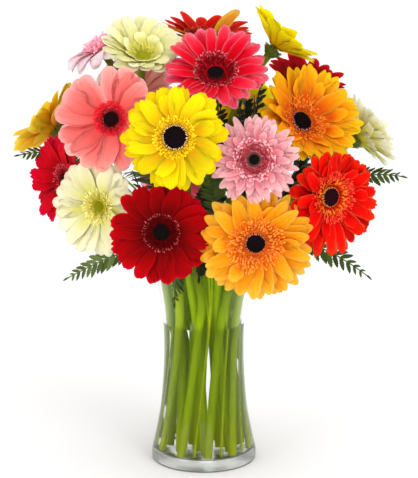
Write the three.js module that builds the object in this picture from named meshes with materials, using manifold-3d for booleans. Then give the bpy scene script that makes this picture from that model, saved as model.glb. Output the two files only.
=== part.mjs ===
// Gerbera daisies with fern fronds, standing in a flared glass vase of water.
// Millimetres, +Z up. The origin is the centre of the vase's flat underside.

import * as THREE from "three";
import { mergeVertices } from "three/addons/utils/BufferGeometryUtils.js";
import Module from "manifold-3d";

const wasm = await Module();
wasm.setup();

// Vase: turned glass with a heavy foot, a narrow neck and a flared mouth
const BASE_RADIUS = 51.5;
const NECK_RADIUS = 38.8;
const NECK_HEIGHT = 106;
const SHOULDER_HEIGHT = 150;
const SHOULDER_RADIUS = 40.6;
const RIM_RADIUS = 49;
const VASE_HEIGHT = 203;
const WALL = 2.4;
const FLOOR_HEIGHT = 10;
const VASE_SIDES = 28;

// Water and what stands in it
const WATER_LEVEL = 137;
const TOUCH_GAP = 0.3;
const HOLE_CLEARANCE = 0.4;

// Stems run straight from the floor of the vase to just above the neck
const STEM_RADIUS = 4;
const STEM_SIDES = 6;
const STRAIGHT_TOP = 150;
const FOOT_HEIGHT = FLOOR_HEIGHT + TOUCH_GAP;
const STEM_BENDS = 6;

// Three nested rings of stems, each leaning round the axis by its own turn
const RINGS = {
  outer: { count: 10, foot: 39.5, top: 28.5, start: -72, turn: 26 },
  middle: { count: 7, foot: 26, top: 17.5, start: -150, turn: -24 },
  inner: { count: 3, foot: 12, top: 7, start: -100, turn: 30 },
};

// Gerbera head, as shares of its radius
const HUB_SHARE = 0.2;
const BODY_SHARE = 0.62;
const BODY_HALF_WIDTH = 0.165;
const TIP_HALF_WIDTH = 0.085;
const INNER_LENGTH = 0.9;
const CROWN_SHARE = 0.32;
const CROWN_NOTCH_SHARE = 0.26;
const DISC_SHARE = 0.19;
const EYE_SHARE = 0.16;
const EYE_HEIGHT_SHARE = 0.07;
const CALYX_SHARE = 0.17;
const CALYX_HEIGHT_SHARE = 0.22;

// Gerbera head, absolute
const PETALS_PER_WHORL = 9;
const PETAL_THICK = 0.9;
const PETAL_CREASE = 0.6;
const WHORL_STEP = 10;
const CROWN_STEP = 22;
const CROWN_RISE = 1;
const EYE_SIDES = 10;

// Share of the crown's inner slope that the disc lies up, and how far a pale disc domes
const DISC_DEPTH = 0.5;
const DISC_DOME_SHARE = 0.06;
const EYE_SHOULDER = 0.75;

// Random spread from petal to petal, in degrees and as a share of length
const ANGLE_SPREAD = 2;
const CUP_SPREAD = 1;
const TIP_SPREAD = 3;
const LENGTH_SPREAD = 0.04;

// How far a stem runs on past the neck and back from its head, as shares of the distance between
const STEM_LEAVE = 0.42;
const STEM_ARRIVE = 0.36;
const CALYX_SHOULDER_DEPTH = 0.6;
const CALYX_SHOULDER_WIDTH = 0.78;

// Fern frond: one thin arched blade, cut to the rib into leaflets
const STALK_WIDTH = 2.6;
const RIB_WIDTH = 1.4;
const STALK_THICK = 2.2;
const BLADE_THICK = 0.9;
const STALK_FOOT = 95;
const STALK_STEPS = 4;
const LEAFLET_PAIRS = 13;
const LEAFLET_SWEEP = 0.45;
const LEAFLET_DROOP = 0.16;
const LEAFLET_LEAST = 2;
const BLADE_START_WIDTH = 0.28;
const BLADE_FULLNESS = 0.8;

const COLOURS = {
  amber: "#f7a81b",
  coral: "#f5716c",
  cream: "#f6edca",
  crimson: "#c40c22",
  darkred: "#a30a14",
  eye: "#24090c",
  fern: "#2f4a17",
  hotpink: "#e0203f",
  orange: "#f79a14",
  pink: "#eda6b0",
  red: "#b5060f",
  scarlet: "#e52a12",
  stem: "#86a81c",
  water: "#eef4f2",
  yellow: "#f6d80e",
};

// Each head: colour, place of its disc, the way it faces, radius, cup of the petals near the disc
// and towards the tips in degrees, and the ring that its stem stands in
const HEADS = [
  { name: "yellow_centre", colour: "yellow", at: [-24, -132, 336], faces: [-0.05, -0.97, 0.2],
    radius: 46, cup: 14, tips: 6, ring: "middle", slot: 1, eye: true },
  { name: "pink_centre", colour: "pink", at: [44, -122, 315], faces: [0.05, -0.97, 0.2],
    radius: 40, cup: 14, tips: 4, ring: "middle", slot: 2, eye: true },
  { name: "orange_low", colour: "orange", at: [46, -115, 240], faces: [0.03, -1, -0.04],
    radius: 51, cup: 12, tips: 4, ring: "outer", slot: 0, eye: true, leave: 0.5 },
  { name: "red_low", colour: "red", at: [-37, -110, 248], faces: [-0.05, -0.97, 0.15],
    radius: 46, cup: 12, tips: 2, ring: "outer", slot: 9, eye: true },
  { name: "cream_left", colour: "cream", at: [-93, -75, 265], faces: [-0.5, -0.86, 0.06],
    radius: 45, cup: 16, tips: 6, ring: "outer", slot: 8, eye: false, leave: 0.5 },
  { name: "coral_left", colour: "coral", at: [-81, -90, 346], faces: [-0.25, -0.93, 0.25],
    radius: 48, cup: 18, tips: 10, ring: "middle", slot: 0, eye: true },
  { name: "scarlet_right", colour: "scarlet", at: [112, -86, 276], faces: [0.5, -0.86, 0],
    radius: 48, cup: 16, tips: 6, ring: "outer", slot: 1, eye: true },
  { name: "orange_right", colour: "orange", at: [88, -44, 336], faces: [0.4, -0.72, 0.57],
    radius: 50, cup: 26, tips: 18, ring: "middle", slot: 3, eye: true },
  { name: "hotpink_top", colour: "hotpink", at: [11, -58, 382], faces: [0, -0.71, 0.71],
    radius: 47, cup: 18, tips: 8, ring: "inner", slot: 0, eye: true },
  { name: "cream_top", colour: "cream", at: [-56, -33, 395], faces: [0.1, -0.62, 0.77],
    radius: 41, cup: 28, tips: 16, ring: "inner", slot: 2, eye: false },
  { name: "crimson_left", colour: "crimson", at: [-127, -24, 281], faces: [-0.8, -0.57, 0.05],
    radius: 42, cup: 18, tips: 8, ring: "outer", slot: 7, eye: true },
  { name: "amber_left", colour: "amber", at: [-143, 36, 320], faces: [-0.75, 0.2, 0.62],
    radius: 45, cup: 14, tips: 4, ring: "outer", slot: 6, eye: false },
  { name: "pink_left", colour: "pink", at: [-98, 35, 397], faces: [-0.5, -0.25, 0.83],
    radius: 37, cup: 6, tips: -28, ring: "middle", slot: 6, eye: false, leave: 0.5,
    arrive: 0.42 },
  { name: "red_top", colour: "scarlet", at: [0, 28, 406], faces: [0.05, -0.15, 0.98],
    radius: 45, cup: 16, tips: 12, ring: "inner", slot: 1, eye: false, leave: 0.4,
    arrive: 0.35 },
  { name: "yellow_top", colour: "yellow", at: [66, -5, 402], faces: [0.62, 0.12, 0.75],
    radius: 39, cup: 24, tips: 14, ring: "middle", slot: 4, eye: false },
  { name: "darkred_right", colour: "darkred", at: [98, 44, 360], faces: [0.4, 0.5, 0.75],
    radius: 42, cup: 14, tips: 6, ring: "middle", slot: 5, eye: false },
  { name: "cream_right", colour: "cream", at: [146, 15, 314], faces: [0.82, 0.25, 0.5],
    radius: 41, cup: 24, tips: 12, ring: "outer", slot: 2, eye: false },
  { name: "coral_back", colour: "coral", at: [-68, 92, 345], faces: [-0.35, 0.8, 0.5],
    radius: 46, cup: 16, tips: 6, ring: "outer", slot: 5, eye: false, leave: 0.3 },
  { name: "yellow_back", colour: "yellow", at: [38, 104, 318], faces: [0.25, 0.9, 0.35],
    radius: 46, cup: 16, tips: 6, ring: "outer", slot: 3, eye: true },
  { name: "hotpink_back", colour: "hotpink", at: [-22, 100, 258], faces: [-0.1, 1, 0.05],
    radius: 44, cup: 16, tips: 6, ring: "outer", slot: 4, eye: false },
];

// Each frond: slot between the outer stems, tip, direction at the tip, how hard it leaves the neck
// and reaches the tip, where its leaflets start along it, half its width and its roll in degrees
const FRONDS = [
  { name: "left_low", slot: 7.5, tip: [-129, -30, 187], heading: [-1, -0.05, -0.55],
    leave: 92, arrive: 62, from: 0.5, half: 17, roll: -45 },
  { name: "right_low", slot: 1.5, tip: [155, -36, 190], heading: [1, -0.2, -0.75],
    leave: 90, arrive: 80, from: 0.5, half: 17, roll: 45 },
  { name: "right_mid", slot: 2.5, tip: [186, -27, 284], heading: [0.96, -0.4, -0.11],
    leave: 97, arrive: 69, from: 0.6, half: 16, roll: 40 },
  { name: "left_mid", slot: 6.5, tip: [-176, -1, 300], heading: [-0.52, -0.27, -0.08],
    leave: 124, arrive: 77, from: 0.62, half: 15, roll: -38 },
  { name: "front_hanging", slot: 9.5, tip: [-27, -64, 171], heading: [0, 0.1, -1],
    leave: 84, arrive: 66, from: 0.62, half: 11, roll: 0 },
  { name: "front_upright", slot: 0.5, tip: [6, -92, 305], heading: [0, -0.5, 1],
    leave: 60, arrive: 50, from: 0.4, half: 14, roll: 0 },
  { name: "back_left", slot: 5.5, tip: [-80, 122, 262], heading: [-0.31, 0.84, -0.26],
    leave: 106, arrive: 72, from: 0.5, half: 17, roll: 0 },
  { name: "back_right", slot: 3.5, tip: [82, 112, 262], heading: [0.5, 0.8, -0.4],
    leave: 100, arrive: 60, from: 0.5, half: 17, roll: 0 },
];

const radians = THREE.MathUtils.degToRad;
const vec = (list) => new THREE.Vector3(...list);

// Small repeatable random numbers between -1 and 1
function jitter(seed) {
  let state = seed * 7919 + 17;
  return () => {
    state = (state * 48271) % 2147483647;
    return (state / 2147483647) * 2 - 1;
  };
}

// Collects triangles by vertex number
class MeshBuilder {
  constructor() {
    this.points = [];
    this.faces = [];
  }

  point(vector) {
    this.points.push(vector.x, vector.y, vector.z);
    return this.points.length / 3 - 1;
  }

  ring(vectors) {
    return vectors.map((vector) => this.point(vector));
  }

  face(a, b, c) {
    this.faces.push(a, b, c);
  }

  quad(a, b, c, d) {
    this.face(a, b, c);
    this.face(a, c, d);
  }

  // Wall between two closed rings of equal count, seen from outside with the second ring above
  band(lower, upper) {
    lower.forEach((start, i) => {
      const next = (i + 1) % lower.length;
      this.quad(start, lower[next], upper[next], upper[i]);
    });
  }

  cap(ring) {
    for (let i = 1; i < ring.length - 1; i += 1) {
      this.face(ring[0], ring[i], ring[i + 1]);
    }
  }

  cone(ring, apex) {
    ring.forEach((start, i) => this.face(start, ring[(i + 1) % ring.length], apex));
  }

  geometry() {
    const geometry = new THREE.BufferGeometry();
    geometry.setAttribute("position", new THREE.Float32BufferAttribute(this.points, 3));
    geometry.setIndex(this.faces);
    geometry.computeVertexNormals();
    return geometry;
  }
}

// Round section across a direction, its first point turned towards the reference
function section(centre, direction, reference, radius, sides) {
  const across = reference.clone().addScaledVector(direction, -reference.dot(direction)).normalize();
  const side = direction.clone().cross(across);
  return Array.from({ length: sides }, (_, i) => {
    const angle = (i / sides) * 2 * Math.PI;
    return centre.clone()
      .addScaledVector(across, radius * Math.cos(angle))
      .addScaledVector(side, radius * Math.sin(angle));
  });
}

// Slides the points of a section along a direction until they lie at one height
function levelled(points, direction, height) {
  return points.map((point) => (
    point.clone().addScaledVector(direction, (height - point.z) / direction.z)
  ));
}

function polar(radius, degrees, height) {
  const angle = radians(degrees);
  return new THREE.Vector3(radius * Math.cos(angle), radius * Math.sin(angle), height);
}

// The straight line of a ring's slot, from the floor of the vase to above its neck
function slotLine(ringName, slot) {
  const ring = RINGS[ringName];
  const azimuth = ring.start + (slot * 360) / ring.count;
  const foot = polar(ring.foot, azimuth - ring.turn / 2, FOOT_HEIGHT);
  const top = polar(ring.top, azimuth + ring.turn / 2, STRAIGHT_TOP);
  const direction = top.clone().sub(foot).normalize();
  return { foot, top, direction };
}

function pointOnLine(line, height) {
  const share = (height - line.foot.z) / (line.top.z - line.foot.z);
  return line.foot.clone().lerp(line.top, share);
}

function vaseGeometry() {
  const outside = [
    [BASE_RADIUS - 1.5, 0], [BASE_RADIUS, 1.5], [BASE_RADIUS - 0.4, 9], [46.7, 29], [41.8, 58],
    [NECK_RADIUS, NECK_HEIGHT], [SHOULDER_RADIUS, SHOULDER_HEIGHT], [RIM_RADIUS, VASE_HEIGHT - 1],
  ];
  const inside = [
    [RIM_RADIUS - 1, VASE_HEIGHT], [RIM_RADIUS - WALL, VASE_HEIGHT - 1], ...innerProfile().reverse(),
  ];
  const profile = [[0, 0], ...outside, ...inside, [0, FLOOR_HEIGHT]];
  return new THREE.LatheGeometry(profile.map(([r, z]) => new THREE.Vector2(r, z)), VASE_SIDES);
}

// Inner face of the glass from the floor up
function innerProfile() {
  return [
    [45, FLOOR_HEIGHT], [46.8, 13], [44.1, 29], [39.4, 58], [NECK_RADIUS - WALL, NECK_HEIGHT],
    [SHOULDER_RADIUS - WALL, SHOULDER_HEIGHT],
  ];
}

// A turned profile comes out of the lathe round Y, so it is stood up round Z
function turned(geometry) {
  geometry.rotateX(Math.PI / 2);
  return geometry;
}

function toManifold(geometry) {
  const bare = geometry.clone();
  bare.deleteAttribute("normal");
  bare.deleteAttribute("uv");
  const merged = mergeVertices(bare);
  return new wasm.Manifold(new wasm.Mesh({
    numProp: 3,
    vertProperties: new Float32Array(merged.attributes.position.array),
    triVerts: new Uint32Array(merged.index.array),
  }));
}

function fromManifold(solid) {
  const mesh = solid.getMesh();
  const geometry = new THREE.BufferGeometry();
  geometry.setAttribute("position", new THREE.BufferAttribute(mesh.vertProperties, 3));
  geometry.setIndex(new THREE.BufferAttribute(mesh.triVerts, 1));
  geometry.computeVertexNormals();
  return geometry;
}

// Straight prism round a slot's line, a little wider than the stem or stalk that stands in it
function holeGeometry(line, radius, from, sides) {
  const builder = new MeshBuilder();
  const reference = new THREE.Vector3(1, 0, 0);
  const around = section(line.top, line.direction, reference, radius, sides);
  const low = builder.ring(levelled(around, line.direction, from));
  const high = builder.ring(levelled(around, line.direction, WATER_LEVEL + 5));
  builder.band(low, high);
  builder.cap(high);
  builder.cap([...low].reverse());
  return builder.geometry();
}

// The water fills the glass up to its level, with a plain hole for each stem and stalk
function waterGeometry() {
  const wetted = innerProfile()
    .filter(([, z]) => z < WATER_LEVEL)
    .map(([r, z]) => [r - TOUCH_GAP, Math.max(z, FLOOR_HEIGHT + TOUCH_GAP)]);
  const risen = (WATER_LEVEL - NECK_HEIGHT) / (SHOULDER_HEIGHT - NECK_HEIGHT);
  const glassRadius = THREE.MathUtils.lerp(NECK_RADIUS, SHOULDER_RADIUS, risen) - WALL;
  const surfaceRadius = glassRadius - TOUCH_GAP;
  const profile = [[0, FOOT_HEIGHT], ...wetted, [surfaceRadius, WATER_LEVEL], [0, WATER_LEVEL]];
  const points = profile.map(([r, z]) => new THREE.Vector2(r, z));
  let water = toManifold(turned(new THREE.LatheGeometry(points, VASE_SIDES)));
  HEADS.forEach(({ ring, slot }) => {
    const line = slotLine(ring, slot);
    const hole = holeGeometry(line, STEM_RADIUS + HOLE_CLEARANCE, 0, STEM_SIDES);
    water = water.subtract(toManifold(hole));
  });
  FRONDS.forEach(({ slot }) => {
    const hole = holeGeometry(slotLine("outer", slot), STALK_WIDTH, STALK_FOOT - TOUCH_GAP, 4);
    water = water.subtract(toManifold(hole));
  });
  return fromManifold(water);
}

// Frame of a head: z is the way it faces, the origin is the middle of its disc
function headFrame(head) {
  const z = vec(head.faces).normalize();
  const x = new THREE.Vector3(0, 0, 1).cross(z).normalize();
  const y = z.clone().cross(x);
  return new THREE.Matrix4().makeBasis(x, y, z).setPosition(vec(head.at));
}

// Ring of points round the head's own axis; radius and height may differ from point to point
function headRing(count, radius, height) {
  return Array.from({ length: count }, (_, i) => {
    const angle = ((i - 0.5) / count) * 2 * Math.PI;
    return new THREE.Vector3(
      radius(i) * Math.cos(angle), radius(i) * Math.sin(angle), height(i),
    );
  });
}

// One petal between two edges of the hub: a creased blade with the same triangles on both faces
function addPetal(builder, shape, upperEdge, lowerEdge) {
  const { angle, length, cup, tips, hub, radius } = shape;
  const along = new THREE.Vector3(Math.cos(angle), Math.sin(angle), 0);
  const across = new THREE.Vector3(-Math.sin(angle), Math.cos(angle), 0);
  const bodyReach = BODY_SHARE * radius * length;
  const bodyHeight = (bodyReach - hub) * Math.tan(radians(cup));
  const tipReach = radius * length;
  const tipHeight = bodyHeight + (tipReach - bodyReach) * Math.tan(radians(tips));
  const place = (reach, side, height) => (
    along.clone().multiplyScalar(reach).addScaledVector(across, side).setZ(height)
  );
  const outline = [
    place(bodyReach, -BODY_HALF_WIDTH * radius, bodyHeight + PETAL_CREASE),
    place(bodyReach, 0, bodyHeight),
    place(bodyReach, BODY_HALF_WIDTH * radius, bodyHeight + PETAL_CREASE),
    place(tipReach, -TIP_HALF_WIDTH * radius, tipHeight),
    place(tipReach, TIP_HALF_WIDTH * radius, tipHeight),
  ];
  const blade = (edge, base) => {
    const points = outline.map((point) => point.clone().setZ(point.z + base));
    return [...edge, ...builder.ring(points)];
  };
  const upper = blade(upperEdge, shape.top);
  const lower = blade(lowerEdge, shape.top - PETAL_THICK);
  const triangles = [[0, 2, 3], [0, 3, 1], [1, 3, 4], [2, 5, 3], [3, 5, 6], [3, 6, 4]];
  triangles.forEach(([a, b, c]) => {
    builder.face(upper[a], upper[b], upper[c]);
    builder.face(lower[a], lower[c], lower[b]);
  });
  const rim = [0, 2, 5, 6, 4, 1];
  rim.slice(1).forEach((end, i) => {
    const start = rim[i];
    builder.quad(upper[start], lower[start], lower[end], upper[end]);
  });
}

// A head is one body: two whorls of petals on a hub, with a crown of small florets round the disc.
// Inner petals leave every other side of the hub, and outer petals the sides between them.
function headGeometry(head, seed) {
  const random = jitter(seed);
  const builder = new MeshBuilder();
  const { radius, cup, tips } = head;
  const count = PETALS_PER_WHORL * 2;
  const hub = HUB_SHARE * radius;
  const flat = (height) => builder.ring(headRing(count, () => hub, () => height));
  const top = flat(PETAL_THICK);
  const middle = flat(0);
  const bottom = flat(-PETAL_THICK);

  for (let i = 0; i < count; i += 1) {
    const next = (i + 1) % count;
    const inner = i % 2 === 0;
    const petal = {
      angle: (i / count) * 2 * Math.PI + radians(ANGLE_SPREAD) * random(),
      length: (inner ? INNER_LENGTH : 1) * (1 - LENGTH_SPREAD * Math.abs(random())),
      cup: cup + (inner ? WHORL_STEP : 0) + CUP_SPREAD * random(),
      tips: tips + (inner ? WHORL_STEP : 0) + TIP_SPREAD * random(),
      top: inner ? PETAL_THICK : 0,
      hub,
      radius,
    };
    const upper = inner ? top : middle;
    const lower = inner ? middle : bottom;
    addPetal(builder, petal, [upper[i], upper[next]], [lower[i], lower[next]]);
    if (inner) builder.quad(bottom[i], bottom[next], middle[next], middle[i]);
    else builder.quad(middle[i], middle[next], top[next], top[i]);
  }

  const notched = (i) => (i % 2 === 0 ? CROWN_SHARE : CROWN_NOTCH_SHARE) * radius;
  const crownSlope = Math.tan(radians(cup + CROWN_STEP));
  const crownHeight = (i) => PETAL_THICK + CROWN_RISE + (notched(i) - hub) * crownSlope;
  const discHeight = discLevel(head);
  const crown = builder.ring(headRing(count, notched, crownHeight));
  const disc = builder.ring(headRing(count, () => DISC_SHARE * radius, () => discHeight));
  builder.band(top, crown);
  builder.band(crown, disc);
  if (head.eye) builder.cap(disc);
  else builder.cone(disc, builder.point(new THREE.Vector3(0, 0, discHeight + DISC_DOME_SHARE * radius)));
  builder.cap([...bottom].reverse());
  return builder.geometry().applyMatrix4(headFrame(head));
}

// Height of the disc inside the crown
function discLevel({ radius, cup }) {
  const crownSlope = Math.tan(radians(cup + CROWN_STEP));
  const crownWidth = (CROWN_NOTCH_SHARE - HUB_SHARE) * radius;
  return PETAL_THICK + CROWN_RISE + DISC_DEPTH * crownWidth * crownSlope;
}

// Dark domed eye that lies on the disc
function eyeGeometry(head) {
  const builder = new MeshBuilder();
  const { radius } = head;
  const base = discLevel(head) + TOUCH_GAP;
  const ring = (share, height) => (
    builder.ring(headRing(EYE_SIDES, () => share * radius, () => base + height * radius))
  );
  const low = ring(EYE_SHARE, 0);
  const shoulder = ring(EYE_SHARE * EYE_SHOULDER, EYE_HEIGHT_SHARE * EYE_SHOULDER);
  builder.band(low, shoulder);
  builder.cone(shoulder, builder.point(new THREE.Vector3(0, 0, base + EYE_HEIGHT_SHARE * radius)));
  builder.cap([...low].reverse());
  return builder.geometry().applyMatrix4(headFrame(head));
}

// A stem stands straight in the vase, bends to its head and ends in the green calyx under it
function stemGeometry(head) {
  const line = slotLine(head.ring, head.slot);
  const facing = vec(head.faces).normalize();
  const calyxTop = vec(head.at).addScaledVector(facing, -PETAL_THICK - TOUCH_GAP);
  const calyxHeight = CALYX_HEIGHT_SHARE * head.radius;
  const end = calyxTop.clone().addScaledVector(facing, -calyxHeight);
  const span = end.distanceTo(line.top);
  const curve = new THREE.CubicBezierCurve3(
    line.top,
    line.top.clone().addScaledVector(line.direction, (head.leave ?? STEM_LEAVE) * span),
    end.clone().addScaledVector(facing, -(head.arrive ?? STEM_ARRIVE) * span),
    end,
  );
  const builder = new MeshBuilder();
  let reference = new THREE.Vector3(1, 0, 0);
  const rings = [];
  const addRing = (centre, direction, radius) => {
    const points = section(centre, direction, reference, radius, STEM_SIDES);
    reference = points[0].clone().sub(centre).normalize();
    rings.push(builder.ring(points));
    return points;
  };
  const around = section(line.top, line.direction, reference, STEM_RADIUS, STEM_SIDES);
  rings.push(builder.ring(levelled(around, line.direction, FOOT_HEIGHT)));
  for (let i = 0; i <= STEM_BENDS; i += 1) {
    const share = i / STEM_BENDS;
    addRing(curve.getPoint(share), curve.getTangent(share), STEM_RADIUS);
  }
  const calyxRadius = CALYX_SHARE * head.radius;
  const shoulder = calyxTop.clone().addScaledVector(facing, -calyxHeight * CALYX_SHOULDER_DEPTH);
  addRing(shoulder, facing, calyxRadius * CALYX_SHOULDER_WIDTH);
  addRing(calyxTop, facing, calyxRadius);
  rings.slice(1).forEach((ring, i) => builder.band(rings[i], ring));
  builder.cap(rings[rings.length - 1]);
  builder.cap([...rings[0]].reverse());
  return builder.geometry();
}

// A frond's stalk stands between the outer stems; past the mouth it becomes the rib of the blade,
// whose leaflets are longest a third of the way along and shorten to the tip
function frondGeometry(frond) {
  const line = slotLine("outer", frond.slot);
  const tip = vec(frond.tip);
  const heading = vec(frond.heading).normalize();
  const curve = new THREE.CubicBezierCurve3(
    line.top,
    line.top.clone().addScaledVector(line.direction, frond.leave),
    tip.clone().addScaledVector(heading, -frond.arrive),
    tip,
  );
  const stations = [{ share: -1, centre: pointOnLine(line, STALK_FOOT), direction: line.direction }];
  const addStation = (share) => stations.push({
    share,
    centre: curve.getPoint(share),
    direction: curve.getTangent(share),
  });
  for (let i = 0; i < STALK_STEPS; i += 1) addStation((frond.from * i) / STALK_STEPS);
  for (let i = 0; i <= LEAFLET_PAIRS; i += 1) {
    addStation(frond.from + ((1 - frond.from) * i) / LEAFLET_PAIRS);
  }

  const builder = new MeshBuilder();
  const bladeSide = frondSide(frond, curve.getTangent(frond.from));
  const sections = stations.map(({ share, centre, direction }) => {
    const onBlade = Math.max(0, (share - frond.from) / (1 - frond.from));
    const level = share < frond.from ? bladeSide : frondSide(frond, direction);
    const side = level.clone().addScaledVector(direction, -level.dot(direction)).normalize();
    const face = side.clone().cross(direction);
    const width = THREE.MathUtils.lerp(STALK_WIDTH, RIB_WIDTH, Math.sqrt(onBlade)) / 2;
    const thick = (share < frond.from ? STALK_THICK : BLADE_THICK) / 2;
    const corner = (across, out) => builder.point(
      centre.clone().addScaledVector(side, across * width).addScaledVector(face, out * thick),
    );
    return {
      share, onBlade, side, face, direction, centre,
      corners: [corner(1, 1), corner(-1, 1), corner(-1, -1), corner(1, -1)],
    };
  });

  sections.slice(1).forEach((second, i) => {
    const first = sections[i];
    const [a0, b0, c0, d0] = first.corners;
    const [a1, b1, c1, d1] = second.corners;
    builder.quad(a0, a1, b1, b0);
    builder.quad(c0, c1, d1, d0);
    if (first.share >= frond.from) {
      addLeaflet(builder, frond, first, 1, [a0, d0], [a1, d1]);
      addLeaflet(builder, frond, first, -1, [b0, c0], [b1, c1]);
    } else {
      builder.quad(d0, d1, a1, a0);
      builder.quad(b0, b1, c1, c0);
    }
  });
  builder.cap(sections[0].corners);
  builder.cap([...sections[sections.length - 1].corners].reverse());
  return builder.geometry();
}

// Level direction across a frond, turned by its roll
function frondSide(frond, direction) {
  const across = direction.clone().cross(new THREE.Vector3(0, 0, 1));
  across.normalize();
  return across.applyAxisAngle(direction, radians(frond.roll));
}

// Pointed leaflet on one side of the rib, swept forward and drooping a little
function addLeaflet(builder, frond, from, sign, start, end) {
  const along = THREE.MathUtils.lerp(BLADE_START_WIDTH, 1, from.onBlade);
  const length = frond.half * Math.sin(Math.PI * along) ** BLADE_FULLNESS + LEAFLET_LEAST;
  const reach = from.centre.clone()
    .addScaledVector(from.side, sign * length)
    .addScaledVector(from.direction, LEAFLET_SWEEP * length)
    .addScaledVector(from.face, -LEAFLET_DROOP * length);
  const upper = builder.point(reach.clone().addScaledVector(from.face, BLADE_THICK / 2));
  const lower = builder.point(reach.clone().addScaledVector(from.face, -BLADE_THICK / 2));
  const [startUp, startLow] = start;
  const [endUp, endLow] = end;
  if (sign > 0) {
    builder.face(startUp, upper, endUp);
    builder.face(startLow, endLow, lower);
    builder.quad(startUp, startLow, lower, upper);
    builder.quad(upper, lower, endLow, endUp);
  } else {
    builder.face(startUp, endUp, upper);
    builder.face(startLow, lower, endLow);
    builder.quad(startLow, startUp, upper, lower);
    builder.quad(lower, upper, endUp, endLow);
  }
}

function finish(colour, roughness) {
  return new THREE.MeshStandardMaterial({ color: COLOURS[colour], roughness, metalness: 0 });
}

const group = new THREE.Group();

function addPart(name, geometry, material) {
  const mesh = new THREE.Mesh(geometry, material);
  mesh.name = name;
  group.add(mesh);
}

const glass = finish("water", 0.05);
glass.transparent = true;
glass.opacity = 0.35;
addPart("vase", turned(vaseGeometry()), glass);
addPart("water", waterGeometry(), finish("water", 0.02));
HEADS.forEach((head, index) => {
  addPart(`bloom_${head.name}`, headGeometry(head, index + 1), finish(head.colour, 0.55));
  addPart(`stem_${head.name}`, stemGeometry(head), finish("stem", 0.5));
  if (head.eye) addPart(`eye_${head.name}`, eyeGeometry(head), finish("eye", 0.8));
});
FRONDS.forEach((frond) => {
  addPart(`frond_${frond.name}`, frondGeometry(frond), finish("fern", 0.6));
});

export default group;
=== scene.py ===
from math import cos, exp, pi, radians, sin, sqrt, tan
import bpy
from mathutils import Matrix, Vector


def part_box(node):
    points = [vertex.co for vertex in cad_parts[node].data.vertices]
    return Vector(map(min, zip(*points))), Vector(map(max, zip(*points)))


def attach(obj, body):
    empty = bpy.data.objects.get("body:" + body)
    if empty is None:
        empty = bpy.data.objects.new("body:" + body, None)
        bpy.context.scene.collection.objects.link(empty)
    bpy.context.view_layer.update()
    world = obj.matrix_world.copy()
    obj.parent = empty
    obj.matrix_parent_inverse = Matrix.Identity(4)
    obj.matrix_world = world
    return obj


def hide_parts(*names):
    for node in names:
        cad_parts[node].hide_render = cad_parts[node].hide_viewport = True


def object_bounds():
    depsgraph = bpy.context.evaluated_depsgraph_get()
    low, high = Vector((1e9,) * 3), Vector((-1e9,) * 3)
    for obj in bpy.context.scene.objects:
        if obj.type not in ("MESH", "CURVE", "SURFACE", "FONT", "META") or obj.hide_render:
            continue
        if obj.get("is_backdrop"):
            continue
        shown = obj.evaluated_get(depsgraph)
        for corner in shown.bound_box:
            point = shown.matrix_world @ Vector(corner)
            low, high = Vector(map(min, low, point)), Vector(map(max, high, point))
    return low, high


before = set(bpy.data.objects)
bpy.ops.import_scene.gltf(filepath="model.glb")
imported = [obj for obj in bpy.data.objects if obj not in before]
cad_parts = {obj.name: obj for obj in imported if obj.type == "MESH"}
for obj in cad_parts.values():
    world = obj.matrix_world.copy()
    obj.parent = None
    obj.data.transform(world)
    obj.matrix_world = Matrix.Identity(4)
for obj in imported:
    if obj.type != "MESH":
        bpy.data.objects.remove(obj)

from types import SimpleNamespace

import bpy
import numpy as np
from mathutils import Vector

cad_low, cad_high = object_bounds()
rng = np.random.default_rng(20)

# Sizes are in millimetres, as in the CAD, and MM brings them to metres
MM = 0.001
WORLD_UP = np.array([0.0, 0.0, 1.0])

# The vase: its outlines from the CAD, as radii and heights, and what the glass holds
VASE_OUTSIDE = [(51.1, 9), (46.7, 29), (41.8, 58), (38.8, 106), (40.6, 150), (48.9, 201)]
VASE_INSIDE = [(46.7, 201.6), (38.2, 150), (36.4, 106), (39.4, 58), (44.1, 29), (46.8, 15.5)]
VASE_UNDERSIDE = [(0, 1.0), (38, 0.8), (44, 0.0)]
VASE_SEGMENTS = 144
OUTLINE_STEPS = 10
FOOT_RADIUS = 50
FOOT_BEVEL = 1.2
BOWL_CORNER = 4.5
FLOOR_HEIGHT = 10
FOOT_GLASS_TOP = 15.5
WATER_OVERLAP = 0.25
MENISCUS = 0.4
MENISCUS_LENGTH = 1.4
MENISCUS_PLACES = (0.5, 1.2, 2.2, 3.5, 5.5, 9)

# The stems, as in the CAD: each stands in a slot of one of three rings. Here are the number of slots, the
# ring's radius at the foot and at the top, the first slot's direction and the twist from foot to top
RINGS = {
    "outer": (10, 39.5, 28.5, -72, 26),
    "middle": (7, 26, 17.5, -150, -24),
    "inner": (3, 12, 7, -100, 30),
}
FOOT_HEIGHT = 10.3
STRAIGHT_TOP = 150
STEM_RADIUS = 4
STEM_SIDES = 16
STEM_TAPER = 0.1
STEM_RIBS = 5
STEM_RIB_HEIGHT = 0.025
STEM_LEAVE = 0.42
STEM_ARRIVE = 0.36
# Above the vase's waist the stems lean outward, between two heights and with soft ends
LEAN_HEIGHTS = (104, 192)
LEAN_ENDS = (40, 45)
LEAN_GAP = {"outer": 0.6, "middle": 10.5, "inner": 26}

# The green cup under a head, and its two rows of bracts: where they start on it, their length and bend
CALYX_SHARE = 0.17
CALYX_HEIGHT_SHARE = 0.22
CALYX_SEAT = 1.2
CALYX_FOOT = 0.92
BRACTS = 22
BRACT_ROWS = ((0.12, 0.95, 0.5), (0.35, 1.0, 0.9))


def head(name, palette, at, faces, radius, cup, tips, slot, form, leave=STEM_LEAVE, arrive=STEM_ARRIVE,
         bare=(), shift=(0, 0.0), strays=()):
    """One flower head: its place and size as in the CAD, and the slopes of its petals, in degrees."""
    return SimpleNamespace(**locals())


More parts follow.
